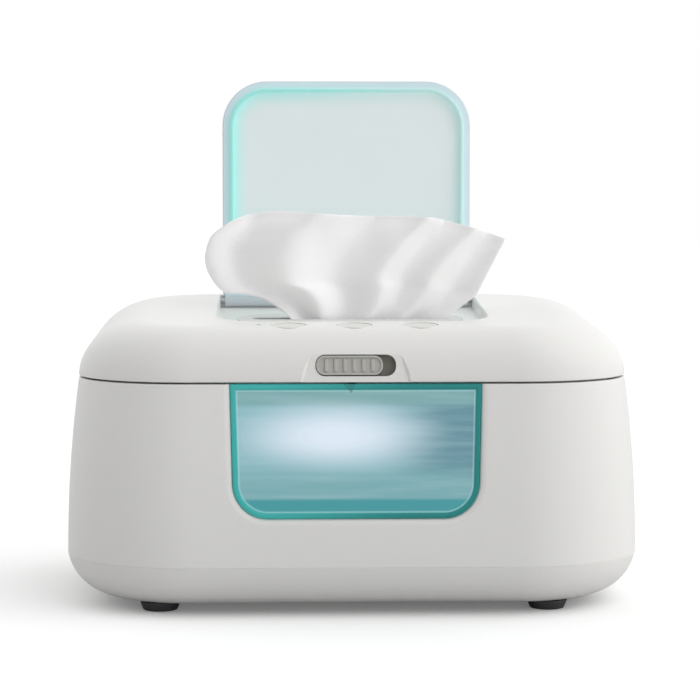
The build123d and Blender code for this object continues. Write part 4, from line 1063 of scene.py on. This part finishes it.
def wipe_grid(across, up):
    """The pulled sheet: a Coons patch between its left, right, slot and top lines gives x and height,
    and folds that run from the slot to the top, each eased into the next, give the depth."""
    s, t = np.linspace(0, 1, across), np.linspace(0, 1, up)
    left = through([
        (0, *low_left), (0.2, low_left[0], -0.5), (0.3, -31, 4.6), (0.38, -39, 9.6), (0.46, -47.5, 11.8),
        (0.54, -56.5, 11.8), (0.6, -60.8, 15.6), (0.7, -64.8, 22.5), (0.8, -65.8, 29), (0.9, -63, 38),
        (1, *top_left)], t)
    right = through([(0, *low_right), (0.2, low_right[0], -0.5), (0.45, 57.0, 11.2), (1, *top_right)], t)
    top = through([
        (0, *top_left), (0.1, -46, 47.6), (0.22, -31, 49.2), (0.48, 4.8, 46.8), (0.62, 22, 46.9),
        (0.75, 38, 46.2), (0.9, 58, 41.0), (1, *top_right)], s)
    slot = np.stack([np.interp(s, (0, 1), (low_left[0], low_right[0])), np.full(across, low_left[1])], -1)
    s2, t2 = s[None, :, None], t[:, None, None]
    patch = ((1 - s2) * left[:, None] + s2 * right[:, None] + (1 - t2) * slot[None] + t2 * top[None]
             - (1 - s2) * (1 - t2) * slot[0] - s2 * (1 - t2) * slot[-1]
             - (1 - s2) * t2 * top[0] - s2 * t2 * top[-1])
    x, rise = patch[..., 0], patch[..., 1]
    opens_at, opens_over, slot_play = -0.5, 46, 1.9
    spread = np.clip((rise - opens_at) / opens_over, 0, 1) ** 0.8
    starts = (folds[:, 0] - folds[0, 0]) / (folds[-1, 0] - folds[0, 0])
    ends = np.interp(folds[:, 1], top[:, 0], s)
    ends[0], ends[-1] = 0, 1
    lines = starts[:, None] + (ends - starts)[:, None] * spread.mean(axis=1)[None]
    pressed = np.where(folds[:, 2] > 0, slot_play, -slot_play)
    levels = [pressed[k] + (folds[k, 2] - pressed[k]) * spread for k in range(len(folds))]
    depth = levels[0].copy()
    for k in range(len(folds) - 1):
        share = np.clip((s[None] - lines[k][:, None]) / (lines[k + 1] - lines[k])[:, None], 0, 1)
        depth += (levels[k + 1] - levels[k]) * share * share * (3 - 2 * share)
    curl_share, curl_depth, top_lean = 0.16, 7, 3.0
    curl = np.clip(1 - s[None] / curl_share, 0, 1) ** 2 * np.sin(pi * np.clip(spread, 0, 1)) * curl_depth
    small = (0.25 * np.sin(x / 3.6 + rise / 6.3) + 0.12 * np.sin(x / 1.9 - rise / 7.1 + 1.3)
             + 0.15 * np.sin(rise / 3.7 + x / 9.0)) * spread
    lean = top_lean * spread ** 2
    return np.stack([x, slot_middle[0] + depth + curl + small + lean, slot_middle[1] + rise], -1)


def nonwoven():
    """Spunlace nonwoven, damp: matt, with a fine crossing fibre texture and a painted glow for the soft
    scatter of light through it.
    """
    material, tree, output = new_material("Nonwoven_spunlace")
    place = add_node(tree, "ShaderNodeTexCoord").outputs["Object"]
    fibres = add_node(tree, "ShaderNodeTexNoise", {"noise_dimensions": "3D"}, Vector=place, Scale=900.0,
                      Detail=4.0, Roughness=0.7)
    apertures = add_node(tree, "ShaderNodeTexVoronoi", Vector=place, Scale=620.0)
    height = arithmetic(tree, "ADD", fibres.outputs["Fac"], apertures.outputs["Distance"])
    tone = layered(tree, finishes().cloth, [(fibres.outputs["Fac"], "#EBEAEB")])
    bump = add_node(tree, "ShaderNodeBump", Height=height, Distance=0.00006, Strength=0.8)
    # The cloth emits a pale colour: a painted glow for light scattered through the sheet.
    skin = add_node(tree, "ShaderNodeBsdfPrincipled", Base_Color=tone, Roughness=0.92, Sheen_Weight=0.15,
                    Emission_Color=linear("#F4F4F5"), Emission_Strength=0.13, Normal=bump.outputs["Normal"])
    tree.links.new(skin.outputs["BSDF"], output.inputs["Surface"])
    return material


class WARMER_OT_wipe(Operator):
    """The wipe pulled up through the slot"""

    bl_idname = "warmer.wipe"
    bl_label = "Wipe"

    def execute(self, context):
        grid = wipe_grid(across=190, up=96)
        rows, columns = grid.shape[:2]
        index = np.arange(rows * columns).reshape(rows, columns)
        quads = np.stack([index[:-1, :-1], index[:-1, 1:], index[1:, 1:], index[1:, :-1]], -1).reshape(-1, 4)
        mesh = bpy.data.meshes.new("sheet")
        mesh.from_pydata((grid.reshape(-1, 3) * MM).tolist(), [], quads.tolist())
        made = piece("pulled_wipe", mesh, Materials.get("cloth", nonwoven), "lid", ["wipe"], 80)
        thick = made.modifiers.new("thickness", "SOLIDIFY")
        thick.thickness = 0.35 * MM
        thick.offset = 0.0
        tilt = sizes_of("lid").slope
        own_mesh(made)
        return {"FINISHED"}


# ======================= Pieces inside =======================

# Finish: material name, base colour, shade, grain in mm, roughness, relief in mm, shader inputs.
inside_finishes = {
    # Bright zinc plating, a little mottled.
    "steel": ("Steel_zinc_plated", "#B9BABC", "#A8A9AC", 0.4, 0.32, 0.002, {"Metallic": 1.0}),
    # Satin plate with a fine even brushing.
    "aluminium": ("Aluminium_plate_brushed", "#C9CACC", "#BDBEC1", 0.3, 0.36, 0.003, {"Metallic": 1.0}),
    # Amber film with a slow change of tone.
    "film": ("Polyimide_heating_film", "#C07A2C", "#AC6820", 3.0, 0.35, 0.004, {}),
    # Dead matt foam with open-looking cells.
    "foam": ("Foam_insulation_closed_cell", "#8E9092", "#7C7E81", 0.8, 0.9, 0.12, {}),
    # Near-black moulding with a low sheen.
    "black": ("Phenolic_black_moulded", "#26272A", "#1E1F22", 0.6, 0.45, 0.01, {}),
    # Green lacquer over a faint glass weave.
    "green": ("Glass_epoxy_board_green", "#2E6B47", "#285F40", 1.6, 0.4, 0.004, {}),
    # White lacquer that throws the lamps' light forward.
    "white_board": ("Glass_epoxy_board_white", "#E9E9E4", "#DEDED8", 1.6, 0.4, 0.004, {}),
    # Warm bright metal, fresh from turning.
    "brass": ("Brass_turned", "#C8A75A", "#B8964A", 0.3, 0.28, 0.002, {"Metallic": 1.0}),
    # Pale yellow resin over the lamps.
    "chip": ("Lamp_chip_resin", "#F3E9B8", "#EADFA8", 0.5, 0.35, 0.002, {}),
    # Milky sheet, soft and cool.
    "diffuser": ("Polycarbonate_diffuser", "#EEF4F6", "#E4ECEF", 1.5, 0.5, 0.006, {}),
    # Waxy white, as moulded.
    "liner": ("Polypropylene_liner", "#EBEBE8", "#E2E2DE", 1.2, 0.4, 0.008, {}),
    # Matt grey with a faint bloom.
    "gasket": ("Silicone_gasket_grey", "#C9CCCB", "#BDC1C0", 0.8, 0.6, 0.01, {}),
    # Matt white with a faint bloom.
    "grommet": ("Silicone_grommet_white", "#E3E4E2", "#D9DAD8", 0.8, 0.55, 0.01, {}),
    # Polished teal acrylic, the one glossy dot on the lid.
    "lens": ("Acrylic_lens_teal", "#5FC4BE", "#52B6B0", 0.8, 0.18, 0.001, {}),
    # Dull dark grey moulding of the latch's inner parts.
    "dark": ("ABS_dark_grey", "#4A4A47", "#403F3C", 0.7, 0.5, 0.008, {}),
}
# Finish: the nodes that have it.
inside_nodes = {
    "steel": ("base_screws", "lid_screws", "lid_hinge_pins", "flap_pin"), "aluminium": ("heater_plate",),
    "film": ("heating_film",), "foam": ("insulation_pad",),
    "black": ("thermal_cutout", "board_components", "power_inlet"), "green": ("control_board",),
    "white_board": ("light_board", "keypad_board"), "brass": ("inlet_pin",), "chip": ("light_chips",),
    "diffuser": ("light_cover",), "liner": ("lid_liner",), "gasket": ("lid_gasket",),
    "grommet": ("slot_grommet",), "lens": ("lamp_lens",), "dark": ("latch_hook", "latch_guide"),
}


class WARMER_OT_inside(Operator):
    """Finishes of the pieces inside, which keep their solids"""

    bl_idname = "warmer.inside"
    bl_label = "Pieces inside"

    def execute(self, context):
        for finish, names in inside_nodes.items():
            name, base, shade, grain, roughness, relief, extra = inside_finishes[finish]
            material = Materials.get(finish, lambda: grained(
                name, base, shade, grain * MM, roughness, relief * MM, **extra))
            for node_name in names:
                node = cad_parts[node_name]
                if not node.material_slots:
                    raise RuntimeError(node_name + " has no material slot")
                for place in node.material_slots:
                    place.material = material
        return {"FINISHED"}


# ======================= Stage =======================

def studio_floor():
    """Matt white paper: seen white by the camera, a little greyer to the light that bounces off it."""
    material, tree, output = new_material("Paper_backdrop_matt")
    rays = add_node(tree, "ShaderNodeLightPath").outputs["Is Camera Ray"]
    tone = layered(tree, "#D8D8D8", [(rays, "#FAFAFA")])
    lift = arithmetic(tree, "MULTIPLY", rays, 0.14)
    skin = add_node(tree, "ShaderNodeBsdfDiffuse", Color=tone)
    glow = add_node(tree, "ShaderNodeEmission", Strength=lift)
    both = add_node(tree, "ShaderNodeAddShader", i0=skin.outputs[0], i1=glow.outputs[0])
    tree.links.new(both.outputs[0], output.inputs["Surface"])
    return material


class WARMER_OT_stage(Operator):
    """Floor, soft studio light and camera"""

    bl_idname = "warmer.stage"
    bl_label = "Studio"

    def execute(self, context):
        scene = context.scene
        scene.view_settings.view_transform = "Standard"
        half = 6.0
        mesh = bpy.data.meshes.new("floor")
        corners = [(-half, -half, 0), (half, -half, 0), (half, half, 0), (-half, half, 0)]
        mesh.from_pydata(corners, [], [(0, 1, 2, 3)])
        mesh.materials.append(studio_floor())
        floor = bpy.data.objects.new("floor", mesh)
        scene.collection.objects.link(floor)

        world = bpy.data.worlds.new("studio")
        scene.world = world
        world.use_nodes = True
        tree = world.node_tree
        tree.nodes.clear()
        output = tree.nodes.new("ShaderNodeOutputWorld")
        rays = add_node(tree, "ShaderNodeLightPath")
        seen = arithmetic(tree, "MAXIMUM", rays.outputs["Is Camera Ray"], rays.outputs["Is Glossy Ray"])
        seen = arithmetic(tree, "MAXIMUM", seen, rays.outputs["Is Transmission Ray"])
        sky = add_node(tree, "ShaderNodeTexCoord").outputs["Generated"]

        def lobe(direction, start, low, high):
            """Light of the sky that goes from low to high toward a direction."""
            toward = add_node(tree, "ShaderNodeVectorMath", {"operation": "DOT_PRODUCT"}, i0=sky, i1=direction)
            return ramp(tree, toward.outputs["Value"], start, 1.0, low, high)

        front_left, right, rear_left = (-0.62, -0.76, 0.2), (0.9, -0.3, 0.3), (-0.93, 0.3, 0.2)
        level = lobe(front_left, 0.35, low=0.80, high=0.0)
        level = arithmetic(tree, "ADD", level, lobe(right, 0.1, low=0.0, high=0.62))
        level = arithmetic(tree, "ADD", level, lobe(rear_left, 0.4, low=0.0, high=0.45))
        level = add_node(tree, "ShaderNodeMix", i0=seen, i2=level, i3=1.0).outputs[0]
        sky_light = add_node(tree, "ShaderNodeBackground", Color=linear("#FFFFFF"), Strength=level)
        tree.links.new(sky_light.outputs[0], output.inputs["Surface"])

        sun = bpy.data.lights.new("soft_key", "SUN")
        sun.energy, sun.angle = 0.32, radians(60)
        key = bpy.data.objects.new("soft_key", sun)
        key.rotation_euler = (radians(38), 0, radians(68))
        scene.collection.objects.link(key)

        lens = bpy.data.cameras.new("camera")
        lens.lens, lens.sensor_width, lens.shift_x = 126.25, 36.0, -0.0033
        lens.clip_end = 100.0
        camera = bpy.data.objects.new("camera", lens)
        camera.location = (-0.0341, -1.1106, 0.1824)
        camera.rotation_euler = (radians(90 - 3.843), 0, -radians(1.816))
        scene.collection.objects.link(camera)
        scene.camera = camera
        return {"FINISHED"}


# ======================= Add-on =======================

operators = (WARMER_OT_stage, WARMER_OT_casing, WARMER_OT_window, WARMER_OT_lid, WARMER_OT_flap,
             WARMER_OT_controls, WARMER_OT_feet, WARMER_OT_tub, WARMER_OT_wipe, WARMER_OT_inside)
groups = {"casing": CasingSizes, "lid": LidSizes, "flap": FlapSizes, "controls": ControlSizes,
          "finishes": Finishes}


class WARMER_PT_panel(Panel):
    """Sizes, colours and steps of the wipe warmer"""

    bl_idname = "WARMER_PT_panel"
    bl_label = "Baby Wipe Warmer"
    bl_space_type = "VIEW_3D"
    bl_region_type = "UI"
    bl_category = "Warmer"

    def draw(self, context):
        column = self.layout.column()
        for operator in operators:
            column.operator(operator.bl_idname)
        for name in groups:
            owner = getattr(context.scene, "warmer_" + name)
            column.separator()
            for item in owner.bl_rna.properties:
                if item.identifier not in ("rna_type", "name"):
                    column.prop(owner, item.identifier)


def register():
    for item in (*groups.values(), *operators, WARMER_PT_panel):
        bpy.utils.register_class(item)
    for name, group in groups.items():
        setattr(bpy.types.Scene, "warmer_" + name, PointerProperty(type=group))


def unregister():
    for name in groups:
        delattr(bpy.types.Scene, "warmer_" + name)
    for item in (WARMER_PT_panel, *operators[::-1], *groups.values()):
        bpy.utils.unregister_class(item)


def main():
    """Registers the add-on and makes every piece."""
    register()
    for operator in operators:
        getattr(bpy.ops.warmer, operator.bl_idname.split(".")[1])()


if __name__ == "__main__":
    main()
